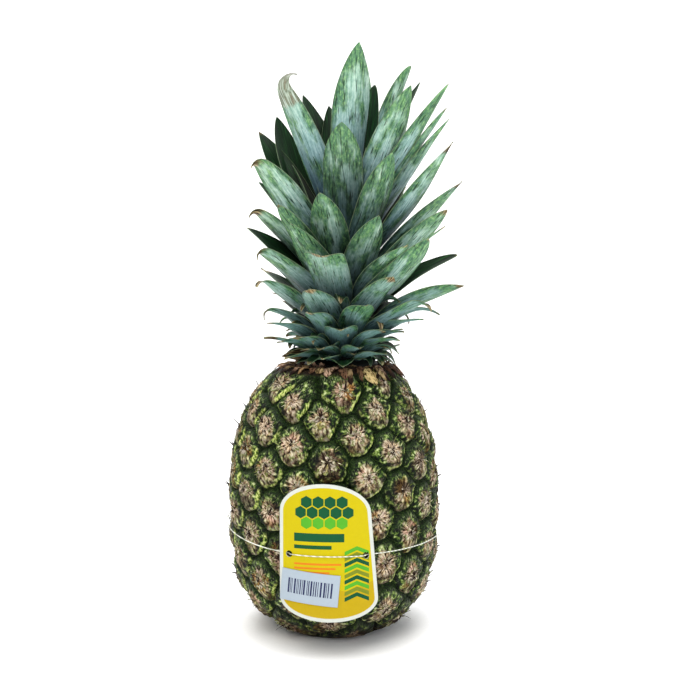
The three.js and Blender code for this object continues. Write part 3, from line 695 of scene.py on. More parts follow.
# %% Torn strips
# The first strip's lean and the sector that they fill, in degrees; how far out and in their ends lie, how
# far they stand off at the root and at least at the point, and their half widths, in mm; how burnt they
# may be; the rows of points; and which of the eye's random numbers sets the tone. The lowest strips reach
# further out by the sag, and the inner ends turn aside by up to the sway, in degrees.
STRIPS = {
    "eye_bracts": {
        "count": 10, "first": 200, "sector": 140, "out": (3.4, 5.4), "sag": 1.2, "sway": 30, "in": (0.4, 3.4),
        "root": (0.7, 1.1), "least": 0.9, "half": (0.6, 1.5), "burns": [-0.6, -0.45, -0.3, 0.15], "rows": 7,
        "luck": 0,
    },
    "eye_sepals": {
        "count": 8, "first": 0, "sector": 180, "out": (2.4, 4.4), "sag": 0, "sway": 25, "in": (0.3, 2.4),
        "root": (0.4, 0.8), "least": 0.7, "half": (0.6, 1.6), "burns": [-0.6, -0.4, -0.2, 0.2], "rows": 6,
        "luck": 2,
    },
}


def torn_strips(chance, eye, plan, tone, size, foot_shade, top):
    """The strips of one eye by one plan. top is how far a strip may stand off at the most."""
    strips = []
    nearest, furthest = plan["out"]
    for k in range(plan["count"]):
        lean = plan["first"] + plan["sector"] * (k + chance.uniform(0.0, 1.0)) / plan["count"]
        sag = plan["sag"] * math.sin(math.radians(-lean))
        outer = off_middle(lean, size * chance.uniform(nearest, furthest + sag))
        inner = off_middle(lean + chance.uniform(-plan["sway"], plan["sway"]), chance.uniform(*plan["in"]))
        tint = 0.3 * tone + 0.55 * patchy(eye, outer) + 0.15 * chance.uniform()
        look = (tint, foot_shade + chance.choice(plan["burns"]))
        stand = (chance.uniform(*plan["root"]), chance.uniform(plan["least"], top))
        half, swing = chance.uniform(*plan["half"]), chance.uniform(-0.9, 0.9)
        strips.append(eye_blade(eye, look, outer, inner, half, stand, plan["rows"], swing, 2, chance, 3.0))
    return strips


print("torn strips:", ", ".join(f"{plan['count']} {name}" for name, plan in STRIPS.items()))

# %% [markdown]
# Three more kinds of blade are narrower. Dark shreds are left of the flower in the middle of the eye. Loose
# fibres fray from the bract and from the rim of the eye. A stiff dark bristle or two, the point of the
# bract, stand off, but not where the tag lies.

# %% Shreds, fibres and bristles
DARK = (0.1, 1.0)  # tint and burn of what has dried black
BRISTLE = {"sway": 2.5, "reach": (2.0, 6.0), "longer": 4.0, "root": 0.7, "least": 1.4, "steep": 0.85}


def shreds(chance, eye, top):
    """What is left of the flower."""
    found = []
    for _ in range(3):
        start = off_middle(chance.uniform(0, 360), chance.uniform(0, 1.2))
        end = off_middle(chance.uniform(0, 360), chance.uniform(0.8, 2.4))
        found.append(eye_blade(eye, DARK, start, end, 0.3, (1.0, top + 0.1), 5, 0.3))
    return found


def loose_fibres(chance, eye, size, covered):
    """Thin fibres that stand off every way, and lie down under the tag."""
    found = []
    for _ in range(11):
        lean = chance.uniform(-30, 210)
        start = off_middle(lean, size * chance.uniform(4.0, 6.5))
        reach, lean = chance.uniform(1.4, 4.4), lean + chance.uniform(-60, 60)
        across, up = turned(lean, reach)
        stand = (0.5, 1.1 if covered else chance.uniform(0.7, 2.2))
        look, swing = (chance.uniform(), -0.3), chance.uniform(-1, 1)
        found.append(eye_blade(eye, look, start, (start[0] + across, start[1] + up), 0.24, stand, 6, swing))
    return found


def stiff_bristles(chance, eye):
    """One or two, and some of them are long."""
    found = []
    for _ in range(chance.integers(1, 3)):
        sway = chance.uniform(-BRISTLE["sway"], BRISTLE["sway"])
        reach = chance.uniform(*BRISTLE["reach"]) + BRISTLE["longer"] * (chance.uniform() > 0.7)
        start, end = (sway, 0.6), (sway * 1.8, 1.6 + 0.5 * reach)
        stand = (BRISTLE["root"], BRISTLE["least"] + BRISTLE["steep"] * reach)
        found.append(eye_blade(eye, DARK, start, end, 0.75, stand, 9, 0.4, 3))
    return found


longest = BRISTLE["reach"][1] + BRISTLE["longer"]
print("bristles stand off by up to", BRISTLE["least"] + BRISTLE["steep"] * longest, "mm")

# %% Every eye gets its blades
DRESSED = (6, 143)  # heights of the lowest and the highest eye with blades
FOOT_SHADE = (8, 34)  # heights between which the painted shade of the foot fades out
UNDER_TAG = {"turn": -3, "half": 29, "low": 16, "high": 98}  # the tag's sector in degrees, and its heights


def under_tag(turn, z):
    """Whether the tag hangs over a place on the fruit, where nothing may stand up."""
    turn = math.degrees((turn + math.pi) % (2 * math.pi) - math.pi)
    return abs(turn - UNDER_TAG["turn"]) < UNDER_TAG["half"] and UNDER_TAG["low"] < z < UNDER_TAG["high"]


blades = {key: [] for key in (*STRIPS, "eye_flower_remains", "eye_fibres", "eye_bristles")}
chance = np.random.default_rng(23)
for eye, (turn, z) in enumerate(zip(eye_turns, eye_heights)):
    luck = chance.uniform(0, 1, 8)
    if not DRESSED[0] <= z <= DRESSED[1]:
        continue
    covered = under_tag(turn, z)
    top = 1.3 if covered else 1.3 + 0.7 * luck[1]
    size = (0.85 + 0.3 * luck[6]) * (1 - 0.22 * float(smooth(z, *YOUNG)))
    # Towards the foot the blades are burnt darker, which paints the shade there.
    foot_shade = 0.45 * (1 - float(smooth(z, *FOOT_SHADE)))
    for name, plan in STRIPS.items():
        blades[name] += torn_strips(chance, eye, plan, luck[plan["luck"]], size, foot_shade, top)
    blades["eye_flower_remains"] += shreds(chance, eye, top)
    blades["eye_fibres"] += loose_fibres(chance, eye, size, covered)
    blades["eye_bristles"] += [] if covered else stiff_bristles(chance, eye)
print({name: len(some) for name, some in blades.items()})

# %% [markdown]
# The bracts are dry plant paper: matt, about 1.4 for the IOR, straw to pink along the blade and burnt
# brown at the point. The root goes over into the colour of what it grows on. Long thin streaks run along
# them, about 0.8 mm apart.

# %% Bract material


def bract_finish(name, palette, burnt, grown_on):
    """Dry plant paper. Each blade has its own colour from the palette, and is streaked and burnt."""
    made, add, shader = new_material(name, roughness=0.8, ior=1.4, Specular_IOR_Level=0.2)
    told, grain = [add("Attribute", out="Vector", attribute_name=key) for key in ("grown", "grain")]
    along, tint, burn = add("SeparateXYZ", [told], out=(0, 1, 2))
    drawn_out = add("VectorMath", [grain, (1.25, 0.5, 1)], operation="MULTIPLY")
    streaks = add("TexNoise", {"Vector": drawn_out, "Scale": 1.0, "Detail": 4.0})
    colour = add("ValToRGB", [tint], palette)
    tone = add("ValToRGB", [streaks], [(0.36, "#4A4238"), (0.46, "#BDB9A8"), (0.55, "#FFFFFF")])
    tip = add("Math", [streaks, 0.7, along], operation="MULTIPLY_ADD")
    tip = add("Math", [tip, burn], operation="ADD")
    at_tip = add("MapRange", [tip, 0.95, 1.3], interpolation_type=SOFT)
    root = add("Math", [streaks, 0.8, along], operation="MULTIPLY_ADD")
    at_root = add("MapRange", {0: root, 1: 0.85, 2: 0.4, 4: 0.85})
    for cover, over, blend in ((1.0, tone, "MULTIPLY"), (at_root, grown_on, "MIX"), (at_tip, burnt, "MIX")):
        colour = add("Mix", {0: cover, 6: colour, 7: over}, out=2, data_type="RGBA", blend_type=blend)
    bump = add("Bump", {"Strength": 0.5, "Distance": 0.4 * MM, "Height": streaks})
    link(shader, Base_Color=colour, Normal=bump)
    return made


bract = bract_finish(
    "dry_papery_bract",
    [
        (0.0, "#5A4636"), (0.2, "#AE8E7E"), (0.4, "#CCC4A8"), (0.55, "#A0968A"), (0.7, "#D2C3AE"),
        (0.85, "#9A8E50"), (1.0, "#EEE8D8"),
    ],
    burnt="#22120B", grown_on="#626E36",
)
fibre = bract_finish(
    "pale_plant_fibre", [(0.0, "#3A2C18"), (0.35, "#74803A"), (0.7, "#A8B470"), (1.0, "#DCDAB4")],
    burnt="#4A3A22", grown_on="#3F5220",
)
print(bract.name, "has", len(bract.node_tree.nodes), "nodes")

# %% The eyes' blades as pieces
for name, some in blades.items():
    points, faces, told = join(some)
    dress(new_piece(name, points, faces, [fibre if name == "eye_fibres" else bract], told), "dry_husk")

# %% [markdown]
# ## The crown
#
# A crown leaf is a stiff strap, channelled along its middle, that holds one width for most of its length
# and then closes to a point. The leaves that show from the front are placed one by one, by where their
# tips stand, those behind spiral up the stem, and short ones fill the foot. A root always sits on the
# stem, at a height that follows from the tip's, so a leaf needs only its tip, width and bend. Where a real
# leaf has dried and curled or been bent over in the crate, its last stretch turns through an angle.

# %% The stem and the crown's outline
CROWN = {"x": 4.0, "z": 150.0, "top": 328, "lean": 0.045, "root_z": 149.4, "root_rise": 0.4, "settled": 225.0}
STEM = {"radius": 22.0, "tip": 4.5, "thinning": 24.0, "low": 148.3, "top": 244.0}


def stem_middle(z):
    """The stem's middle at a height: it leans a little to the right."""
    return np.array([CROWN["x"] + CROWN["lean"] * (z - CROWN["z"]), 0.0, z])


def stem_radius(z):
    """The stem's radius: wide where it leaves the fruit, and then thinner and thinner."""
    flare = STEM["radius"] - STEM["tip"]
    return STEM["tip"] + flare * math.exp((FRUIT["top"] - z) / STEM["thinning"])


def crown_reach(z):
    """How far the crown's outline stands from its axis at a height, and below its foot as at the foot."""
    share = max(0.0, (z - CROWN["z"]) / (CROWN["top"] - CROWN["z"]))
    return 24 + 30 * math.sin(math.pi * min(1, share * 1.15) ** 0.8) - 8 * share**3


print("the crown is", round(2 * max(crown_reach(z) for z in range(150, 328))), "mm across at its widest")

# %% Leaves that show from the front
# A leaf is its tip's x, y and z; full width; narrowing length; turn of its back to the front; bow; curl in
# degrees and where along the leaf it starts; how dry the tip is; how far the wax is rubbed off.
LEAF_VALUES = ("x", "y", "z", "width", "taper", "turn", "bow", "curl", "curl_start", "dry", "rubbed")
Leaf = namedtuple("Leaf", LEAF_VALUES)
FRONT_LEAVES = [Leaf(*row) for row in (
    # The top and the right side.
    (14, -12, 328, 26, 42, 0, 0, 0, 1, 0.05, 0.35),
    (23, -4, 306, 24, 42, -60, 0, 0, 1, 0, 0.2),
    (44, 12, 320, 23, 40, 40, 0.02, 0, 1, 0.05, 0.3),
    (41, -34, 300, 19, 42, 28, 0.02, 0, 1, 0.05, 0.45),
    (50, 18, 312, 20, 60, 0, 0.02, 0, 1, 0, 0.1),
    (61, -34, 301, 15, 80, 20, 0.03, 0, 1, 0.1, 0.5),
    (61, -24, 290, 10, 70, 15, 0.03, 0, 1, 0.2, 0.4),
    (31, -40, 264, 20, 34, 0, 0, 0, 1, 0, 0.8),
    (63, -20, 285, 13, 60, 15, 0.02, 0, 1, 0.1, 0.5),
    (63, -36, 270, 15, 55, 12, -0.02, 0, 1, 0.5, 0.5),
    (52, 18, 274, 16, 50, -30, 0.02, 0, 1, 0, 0.1),
    (69, -28, 250, 15, 45, 18, 0, 0, 1, 0.3, 0.4),
    (60, -38, 234, 19, 38, 15, -0.01, 0, 1, 0.25, 0.6),
    (62, -10, 227, 12, 45, 0, 0.03, 0, 1, 0.3, 0.2),
    (49, -54, 218, 22, 34, 5, -0.05, 0, 1, 0.1, 0.7),
    (68, -16, 211, 18, 42, -35, 0.05, 0, 1, 0.05, 0.2),
    (70.5, -28, 194, 17, 45, 25, 0.07, 0, 1, 0.3, 0.8),
    (52, -46, 188, 17, 36, 5, 0.04, -70, 0.8, 0.4, 0.4),
    (58, -24, 183, 11, 45, 20, 0.12, -30, 0.7, 0.1, 0.2),
    (48, -36, 176, 14, 40, 10, 0.12, 0, 1, 0.1, 0.2),
    (35, -44, 165, 15, 34, 0, 0.12, 0, 1, 0.1, 0.3),
    (36, -30, 161, 13, 30, 0, 0.14, -30, 0.6, 0.1, 0.2),
    (36, -20, 154, 11, 30, 0, 0.16, -40, 0.6, 0.1, 0.2),
    # The left side.
    (-35, -26, 314, 21, 70, 18, 0.03, 125, 0.82, 0.95, 0.35),
    (-18, 14, 304, 26, 45, -15, 0.02, 0, 1, 0.05, 0.2),
    (-3, 20, 299, 20, 40, 0, 0.02, 0, 1, 0, 0.2),
    (-33, 12, 291, 24, 34, -20, -0.06, 0, 1, 0, 0.1),
    (-43, 6, 282, 18, 40, -50, 0, 0, 1, 0.2, 0.3),
    (-43, -38, 263, 19, 30, 25, 0.03, -100, 0.9, 0.5, 0.5),
    (-42, -4, 252, 22, 40, -30, 0.02, 0, 1, 0, 0.1),
    (-46, -22, 238, 17, 32, 15, 0.03, -100, 0.88, 0.6, 0.4),
    (-29, -46, 236, 15, 28, 10, 0.02, 0, 1, 0.15, 0.8),
    (-22, -54, 226, 18, 34, 5, 0.02, 0, 1, 0.05, 0.6),
    (-48, -18, 226, 17, 32, -40, 0.03, 0, 1, 0.1, 0.2),
    (-42, -40, 215, 17, 36, 15, 0.04, -120, 0.88, 0.5, 0.4),
    (-42, -32, 199, 15, 38, 15, 0.05, -80, 0.86, 0.4, 0.2),
    (-41, -30, 182, 12, 36, 15, 0.12, -110, 0.84, 0.5, 0.2),
    (-36, -34, 174, 13, 34, 10, 0.12, 0, 1, 0.3, 0.2),
    (-39, -14, 165, 12, 44, 15, 0.1, 0, 1, 0.5, 0.2),
    (-29, -16, 155, 13, 10, 30, 0.06, 0, 1, 1, 0.3),
    # The middle and the front.
    (4, -32, 281, 22, 26, 0, 0.02, 0, 1, 0.05, 0.45),
    (-7, -50, 242, 20, 30, 5, 0.02, 0, 1, 0.05, 0.55),
    (23, -54, 230, 19, 34, 0, 0.02, 0, 1, 0.05, 0.55),
    (38, -56, 215, 18, 36, 5, 0.03, 0, 1, 0.2, 0.4),
    (-6, -61, 210.5, 21, 7, 0, 0.04, -30, 0.9, 0.25, 0.15),
    (31, -58, 198, 17, 32, 5, 0.06, 0, 1, 0.4, 0.2),
    (-13, -58, 192, 18, 24, 5, 0.06, 0, 1, 0.4, 0.1),
    (-13, -54, 180, 15, 24, 0, 0.1, 0, 1, 0.3, 0.2),
    (17, -60, 184, 17, 24, 0, 0.08, 0, 1, 0.1, 0.9),
    (4, -54, 171, 18, 20, 0, 0.14, 0, 1, 0.2, 0.1),
    (27, -50, 170, 12, 28, 0, 0.1, 0, 1, 0.2, 0.2),
    (-20, -42, 167, 12, 26, 0, 0.1, 0, 1, 0.3, 0.2),
    (-8, -42, 160, 12, 20, 0, 0.12, 0, 1, 0.3, 0.2),
    (28, -42, 158, 11, 24, 0, 0.06, 0, 1, 0.1, 0.2),
    # The foot, where short leaves cover the roots.
    (-6, -40, 155, 12, 20, 0, 0.08, 0, 1, 0.2, 0.2),
    (14, -44, 161, 12, 20, 0, 0.1, 0, 1, 0.1, 0.2),
    (-22, -32, 166, 14, 24, 10, 0.1, 0, 1, 0.4, 0.3),
    (5, -40, 151, 13, 16, 0, 0.08, 0, 1, 0.1, 0.8),
    (-31, -24, 163, 16, 30, 10, 0.14, 0, 1, 0.2, 0.2),
    (38, -30, 169, 15, 30, 10, 0.14, 0, 1, 0.1, 0.2),
    (-27, -27, 154, 14, 22, 10, 0.12, 0, 1, 0.3, 0.3),
    (33, -14, 151, 13, 24, 0, 0.2, 0, 1, 0.1, 0.2),
    (27, -33, 153, 12, 22, 10, 0.16, -20, 0.7, 0.2, 0.3),
    (-14, -36, 152, 11, 20, 0, 0.12, 0, 1, 0.2, 0.3),
)]
print(len(FRONT_LEAVES), "leaves at the front")

# %% Leaves by rule
SMALL = {"leaves": 56, "low": 150.5, "high": 192.0, "reach": 0.8, "width": 9.0}
BACK = {"leaves": 28, "half_sector": 78.0, "low": 160.0, "high": 292.0}
GOLDEN = 0.618034  # each leaf's turn from the last, as a share


def spread(k, step):
    """A share from 0 to 1 for leaf k, which jumps about and still covers the range evenly."""
    return (k * step) % 1


def back_leaves():
    """The leaves behind, from the lowest up."""
    found = []
    for k in range(BACK["leaves"]):
        z = BACK["low"] + (BACK["high"] - BACK["low"]) * (k / (BACK["leaves"] - 1)) ** 0.9
        turn = math.radians(180 + BACK["half_sector"] * (2 * spread(k, GOLDEN) - 1))
        reach = crown_reach(z) * (0.92 + 0.08 * math.cos(k * 2.3))
        width = 12 + 10 * float(smooth((z - CROWN["z"]) / 90, 0, 1))
        x, y, _ = around(reach, turn, z) + stem_middle(z) * [1, 0, 0]
        dry, rubbed = 0.1 + 0.35 * spread(k, 0.37), 0.2 + 0.5 * spread(k, 0.53)
        found.append(Leaf(x, y, z, width, 1.8 * width, 0, 0.03, 0, 1, dry, rubbed))
    return found


def small_leaves():
    """Short leaves that fill the foot of the crown all round and curl out between the larger ones."""
    found = []
    for k in range(SMALL["leaves"]):
        share = k / (SMALL["leaves"] - 1)
        z = SMALL["low"] + (SMALL["high"] - SMALL["low"]) * share**1.3
        turn = 2 * math.pi * spread(k, GOLDEN)
        reach = crown_reach(z) * (SMALL["reach"] + 0.35 * (1 - share) ** 2) * (1 + 0.1 * math.sin(k * 2.9))
        width = SMALL["width"] * (0.85 + 0.3 * spread(k, 0.29))
        x, y, _ = around(reach, turn, z) + stem_middle(z) * [1, 0, 0]
        bow, curl, dry = 0.1 + 0.1 * spread(k, 0.71), (-70, 0, -35, 0, -100)[k % 5], 0.4 * spread(k, 0.43)
        found.append(Leaf(x, y, z, width, 2.2 * width, 20 * math.sin(k), bow, curl, 0.75, dry, 0.3))
    return found


print(BACK["leaves"], "leaves at the back and", SMALL["leaves"], "small ones at the foot")

# %% [markdown]
# A leaf's spine is a curve with three handles: root, bend and tip. Its rows lie closer near the tip, where
# the curl is. The frame of directions is carried along, so the leaf can roll and curl without a kink.

# %% The line of a leaf
BLADE = {"rib": 1.5, "edge": 0.45, "channel": 0.28, "root_share": 0.5, "swell": 0.5, "tip": 0.12}
LEAF_ROWS, LEAF_COLUMNS = 34, 9  # points along and across a leaf


def leaf_spine(leaf):
    """Places along a leaf, the directions to its side and out of its inner face, its shares and length."""
    tip = np.array([leaf.x, leaf.y, leaf.z], float)
    settled = float(smooth(leaf.z, CROWN["z"], CROWN["settled"]))
    root_z = CROWN["root_z"] + CROWN["root_rise"] * (leaf.z - CROWN["z"]) * settled
    middle = stem_middle(root_z)
    outward = (tip - middle) * [1, 1, 0]
    outward /= np.linalg.norm(outward)
    root = middle + outward * stem_radius(root_z) / 2
    chord = tip - root
    length = np.linalg.norm(chord)
    upward = outward * (-chord[2] / length) + np.array([0, 0, chord @ outward / length])
    bend = root + chord / 2 + upward * 2 * leaf.bow * length
    t = (1 - (1 - np.linspace(0, 1, LEAF_ROWS)) ** 1.5)[:, None]
    spine = (1 - t) ** 2 * root + 2 * t * (1 - t) * bend + t**2 * tip
    ahead = unit((1 - t) * (bend - root) + t * (tip - bend))
    normal = -ahead[:, 2:] * outward + (ahead @ outward)[:, None] * np.array([0, 0, 1.0])
    if leaf.curl:
        angle = np.radians(leaf.curl) * smooth(t, leaf.curl_start, 1.0)
        straight = ahead
        ahead = straight * np.cos(angle) + normal * np.sin(angle)
        normal = normal * np.cos(angle) - straight * np.sin(angle)
        stride = np.linalg.norm(np.diff(spine, axis=0), axis=1)[:, None]
        steps = (ahead[1:] + ahead[:-1]) / 2 * stride
        spine = spine[0] + np.concatenate([[[0, 0, 0]], np.cumsum(steps, axis=0)])
    side = np.cross(ahead, normal)
    roll = math.radians(leaf.turn) * (1 if outward[0] > 0 else -1)
    rolled_side = side * math.cos(roll) + normal * math.sin(roll)
    rolled_normal = normal * math.cos(roll) - side * math.sin(roll)
    return spine, rolled_side, rolled_normal, t[:, 0], length


def leaf_half_width(leaf, t, length):
    """Half the leaf's width: narrow at the root, even along the middle and closing to a point."""
    along = t * length
    swell = BLADE["root_share"] + (1 - BLADE["root_share"]) * smooth(along / (BLADE["swell"] * length), 0, 1)
    to_tip = np.clip((along - (length - leaf.taper)) / leaf.taper, 0, 1)
    return np.maximum(BLADE["tip"], leaf.width / 2 * swell * (1 - to_tip**2) ** 0.8)


print("the longest leaf at the front is", round(max(leaf_spine(leaf)[4] for leaf in FRONT_LEAVES)), "mm long")

# %% A leaf's mesh
LOW_WAX_AND_SHADE = (165, 245)  # heights of tips between which leaves go from low, waxier and darker with painted shade, to open
DEEP = (230, 300)  # heights between which the painted shade inside the crown ends


def leaf_depth(points):
    """How deep each point lies inside the crown, where little light comes, from 0 to 1."""
    z = points[:, 2]
    off_axis = np.hypot(points[:, 0] - CROWN["x"] - CROWN["lean"] * (z - CROWN["z"]), points[:, 1])
    reach = np.array([crown_reach(height) for height in z])
    return (1 - smooth(off_axis / reach, 0.3, 0.95)) * (1 - smooth(z, *DEEP))


def leaf_mesh(leaf, seed):
    """A closed leaf: its points and faces, and what the finish is told about each point."""
    luck = np.random.default_rng(seed).uniform(-1, 1, 4)
    spine, side, normal, t, length = leaf_spine(leaf)
    half = leaf_half_width(leaf, t, length)
    across = np.linspace(-1, 1, LEAF_COLUMNS)
    wide = half[:, None] * across
    lift = (np.abs(across) ** 1.6)[None] * BLADE["channel"] * half[:, None]
    wave = np.sin(t * (9 + 3 * luck[0]) + 3 * luck[1])[:, None] * (across * np.abs(across))[None]
    lift = lift + 0.5 * wave * (1 + 0.5 * luck[2])
    sheet = spine[:, None] + side[:, None] * wide[..., None] + normal[:, None] * lift[..., None]
    thick = (BLADE["edge"] + (BLADE["rib"] - BLADE["edge"]) * (1 - np.abs(across) ** 1.5))[None]
    thick = thick * (0.35 + 0.65 * (1 - t[:, None] ** 3)) / 2
    depth = normal[:, None] * thick[..., None]
    points = np.concatenate([(sheet + depth).reshape(-1, 3), (sheet - depth).reshape(-1, 3)])
    from_tip = np.repeat((1 - t) * length, LEAF_COLUMNS)
    edge_gap = (half[:, None] * (1 - np.abs(across))).ravel()
    place = np.stack([wide.ravel(), from_tip, np.full(wide.size, 50 * luck[3])], axis=-1)
    low_wax_and_shade = 1 - float(smooth(leaf.z, *LOW_WAX_AND_SHADE))
    deep = leaf_depth(points)
    return points, shell_faces(LEAF_ROWS, LEAF_COLUMNS), {
        "leaf_place": np.tile(place, (2, 1)),
        "leaf_inner": np.repeat([1.0, 0.0], wide.size),
        "leaf_looks": np.tile([leaf.dry, leaf.rubbed, low_wax_and_shade], (len(points), 1)),
        "leaf_edge": np.tile(edge_gap, 2),
        "leaf_deep": np.stack([deep, np.full_like(deep, leaf.curl > 0), 0 * deep], axis=-1),
    }


print("a leaf has", len(leaf_mesh(FRONT_LEAVES[0], seed=100)[0]), "points")

# %% [markdown]
# ## The leaves' finish
#
# A pineapple leaf is green under a coat of grey-blue wax scales. The coat is thick on the outer face and
# rubs off where leaves touch, so green shows in long patches towards the tips and margins. The inner face
# has hardly any of it, and is dark and smooth; its near-black green is partly painted shade, as it mostly
# faces into the crown. Fine ribs run the whole length, about 0.5 mm apart, and scratches are darker and a
# little wider. The wax makes it satin: roughness about 0.5, IOR 1.45. The leaves are darker towards the
# root, low in the crown and deep inside it, with painted shade.

# %% Leaf material: patterns
leaf_skin, add, shader = new_material("waxy_grey_green_leaf", roughness=0.55, Specular_IOR_Level=0.3)
place, looks, hidden = [
    add("Attribute", out="Vector", attribute_name=key) for key in ("leaf_place", "leaf_looks", "leaf_deep")
]
inner, edge_gap = [add("Attribute", out="Fac", attribute_name=key) for key in ("leaf_inner", "leaf_edge")]
from_tip = add("SeparateXYZ", [place], out=1)
dry_share, rubbed_share, low_wax_and_shade = add("SeparateXYZ", [looks], out=(0, 1, 2))
deep, bleached = add("SeparateXYZ", [hidden], out=(0, 1))
patterns = []
# Each pattern is a noise that is drawn out along the leaf: cycles per mm across and along, and a seed's
# weight; then its scale, detail and roughness.
for stretch, scale, detail, rough in (
    ((0.2, 0.07, 1), 1.0, 4.0, 0.5),  # long patches
    ((1.0, 0.45, 1), 0.9, 5.0, 0.62),  # blotches
    ((1.6, 0.07, 1), 1.0, 3.0, 0.5),  # streaks
    ((2.2, 0.012, 1), 1.0, 1.0, 0.5),  # ribs
    ((1.3, 0.11, 7), 1.0, 2.0, 0.5),  # scratches
):
    drawn_out = add("VectorMath", [place, stretch], operation="MULTIPLY")
    noise = {"Vector": drawn_out, "Scale": scale, "Detail": detail, "Roughness": rough}
    patterns.append(add("TexNoise", noise))
patches, blotches, streaks, ribs, scratches = patterns
print(leaf_skin.name, "has", len(leaf_skin.node_tree.nodes), "nodes for its patterns")

# %% Leaf material: where each layer lies
# Pale wax towards the tip, and darker blue towards the root, partly the wax and partly painted shade. Rubbed
# patches by the noise, the leaf's own share, the tip and the margins. Leaves low in the crown keep more wax
# and are multiplied darker and bluer: a painted shade.
height = add("MapRange", [from_tip, 78.0, 14.0])
low_shade_share = add("Math", [low_wax_and_shade, 0.75], operation="MULTIPLY")
near_tip = add("MapRange", [from_tip, 38.0, 3.0, 0.0, 0.14])
near_edge = add("MapRange", [edge_gap, 3.6, 0.0, 0.0, 0.1])
rub = add("Math", [rubbed_share, 0.22, patches], operation="MULTIPLY_ADD")
rub = add("Math", [rub, near_tip], operation="ADD")
rub = add("Math", [rub, near_edge], operation="ADD")
rub = add("Math", [low_wax_and_shade, -0.1, rub], operation="MULTIPLY_ADD")
rubbed = add("MapRange", [rub, 0.54, 0.76, 0.0, 0.85], interpolation_type=SOFT)
# Scratches and bruises: thin and dark, and mostly where the wax is rubbed.
scratch = add("Math", [rubbed, 0.05, scratches], operation="MULTIPLY_ADD")
scratched = add("MapRange", [scratch, 0.61, 0.68, 0.0, 0.85])
# Deep inside the crown the colour is multiplied darker: a painted shade.
deep_shade_share = add("Math", [deep, 0.85], operation="MULTIPLY")
# Dry tips: short, brown and black, but long and bleached on a leaf that has curled inward.
reach = add("Math", [bleached, 14.0, 13.0], operation="MULTIPLY_ADD")
reach = add("Math", [dry_share, reach, 0.4], operation="MULTIPLY_ADD")
ragged = add("Math", [patches, 9.0, from_tip], operation="MULTIPLY_ADD")
dried = add("Math", [reach, ragged], operation="SUBTRACT")
dry = add("MapRange", [dried, -5.0, -1.5], interpolation_type=SOFT)
withered = add("MapRange", [from_tip, 16.0, 3.0, 0.0, 0.85])
# A pale thin margin: partly the leaf's own pale edge and partly a painted highlight along it.
margin = add("MapRange", [edge_gap, 0.3, 0.0, 0.0, 0.5])
print(leaf_skin.name, "has", len(leaf_skin.node_tree.nodes), "nodes with its shares")

# %% Leaf material: colours
tone = add("Math", [streaks, 0.6, 0.0], operation="MULTIPLY_ADD")
tone = add("Math", [blotches, 0.4, tone], operation="MULTIPLY_ADD")
# Towards the root the wax is darker: partly its own colour, partly painted shade where the leaf goes in under
# others.
wax_base_and_shade = add("ValToRGB", [tone], [(0.3, "#3E6274"), (0.5, "#729CB2"), (0.7, "#A8CADC")])
wax_pale = add("ValToRGB", [tone], [(0.3, "#5E8C74"), (0.5, "#A2C4AE"), (0.7, "#D6EAD6")])
green = add("ValToRGB", [blotches], [
    (0.3, "#163C28"), (0.46, "#34683E"), (0.6, "#5C9048"), (0.74, "#A2C886"),
])
# The inner face's near-black green is partly its own colour and partly painted shade.
inner_green_and_shade = add("ValToRGB", [streaks], [(0.35, "#020D04"), (0.55, "#07270D"), (0.75, "#1C4C20")])
brown_tip = add("ValToRGB", [streaks], [(0.36, "#1E160E"), (0.5, "#6A5638"), (0.64, "#C4B084")])
pale_tip = add("ValToRGB", [scratches], [
    (0.36, "#BCC8BC"), (0.47, "#9CAA98"), (0.53, "#4A5442"), (0.58, "#8C9680"), (0.66, "#6C6654"),
])
# The very end of a curled leaf is withered and dark.
pale_tip = add("Mix", {0: withered, 6: pale_tip, 7: "#4E463C"}, out=2, data_type="RGBA")
tip_colour = add("Mix", {0: bleached, 6: brown_tip, 7: pale_tip}, out=2, data_type="RGBA")
colour = wax_base_and_shade
for cover, over, blend in (
    (height, wax_pale, "MIX"), (low_shade_share, "#628AA6", "MULTIPLY"), (rubbed, green, "MIX"),
    (scratched, "#17301F", "MIX"), (inner, inner_green_and_shade, "MIX"), (deep_shade_share, "#244252", "MULTIPLY"),
    (dry, tip_colour, "MIX"), (margin, "#8A9E7A", "MIX"),
):
    colour = add("Mix", {0: cover, 6: colour, 7: over}, out=2, data_type="RGBA", blend_type=blend)
gloss = add("MapRange", {0: inner, 3: 0.55, 4: 0.5})
bump = add("Bump", {"Strength": 0.5, "Distance": 0.4 * MM, "Height": ribs})
link(shader, Base_Color=colour, Roughness=gloss, Normal=bump)
print(leaf_skin.name, "has", len(leaf_skin.node_tree.nodes), "nodes")

# %% The crown's leaves
for name, leaves, seed in (
    ("crown_leaves_front", FRONT_LEAVES, 100),
    ("crown_leaves_back", back_leaves(), 300),
    ("crown_leaves_small", small_leaves(), 400),
):
    points, faces, told = join([leaf_mesh(leaf, seed + i) for i, leaf in enumerate(leaves)])
    dress(new_piece(name, points, faces, [leaf_skin], told), "leaf", "crown")

# %% The crown's stem
STEM_ROWS, STEM_SIDES = 40, 48
heights = np.linspace(STEM["low"], STEM["top"], STEM_ROWS)
rings = [around(stem_radius(z), full_turn(STEM_SIDES), 0.0) + stem_middle(z) for z in heights]
points = np.concatenate(rings)
faces = grid_faces(STEM_ROWS, STEM_SIDES, wrap=True)
faces += [list(range(STEM_SIDES))[::-1], list(range(len(points) - STEM_SIDES, len(points)))]
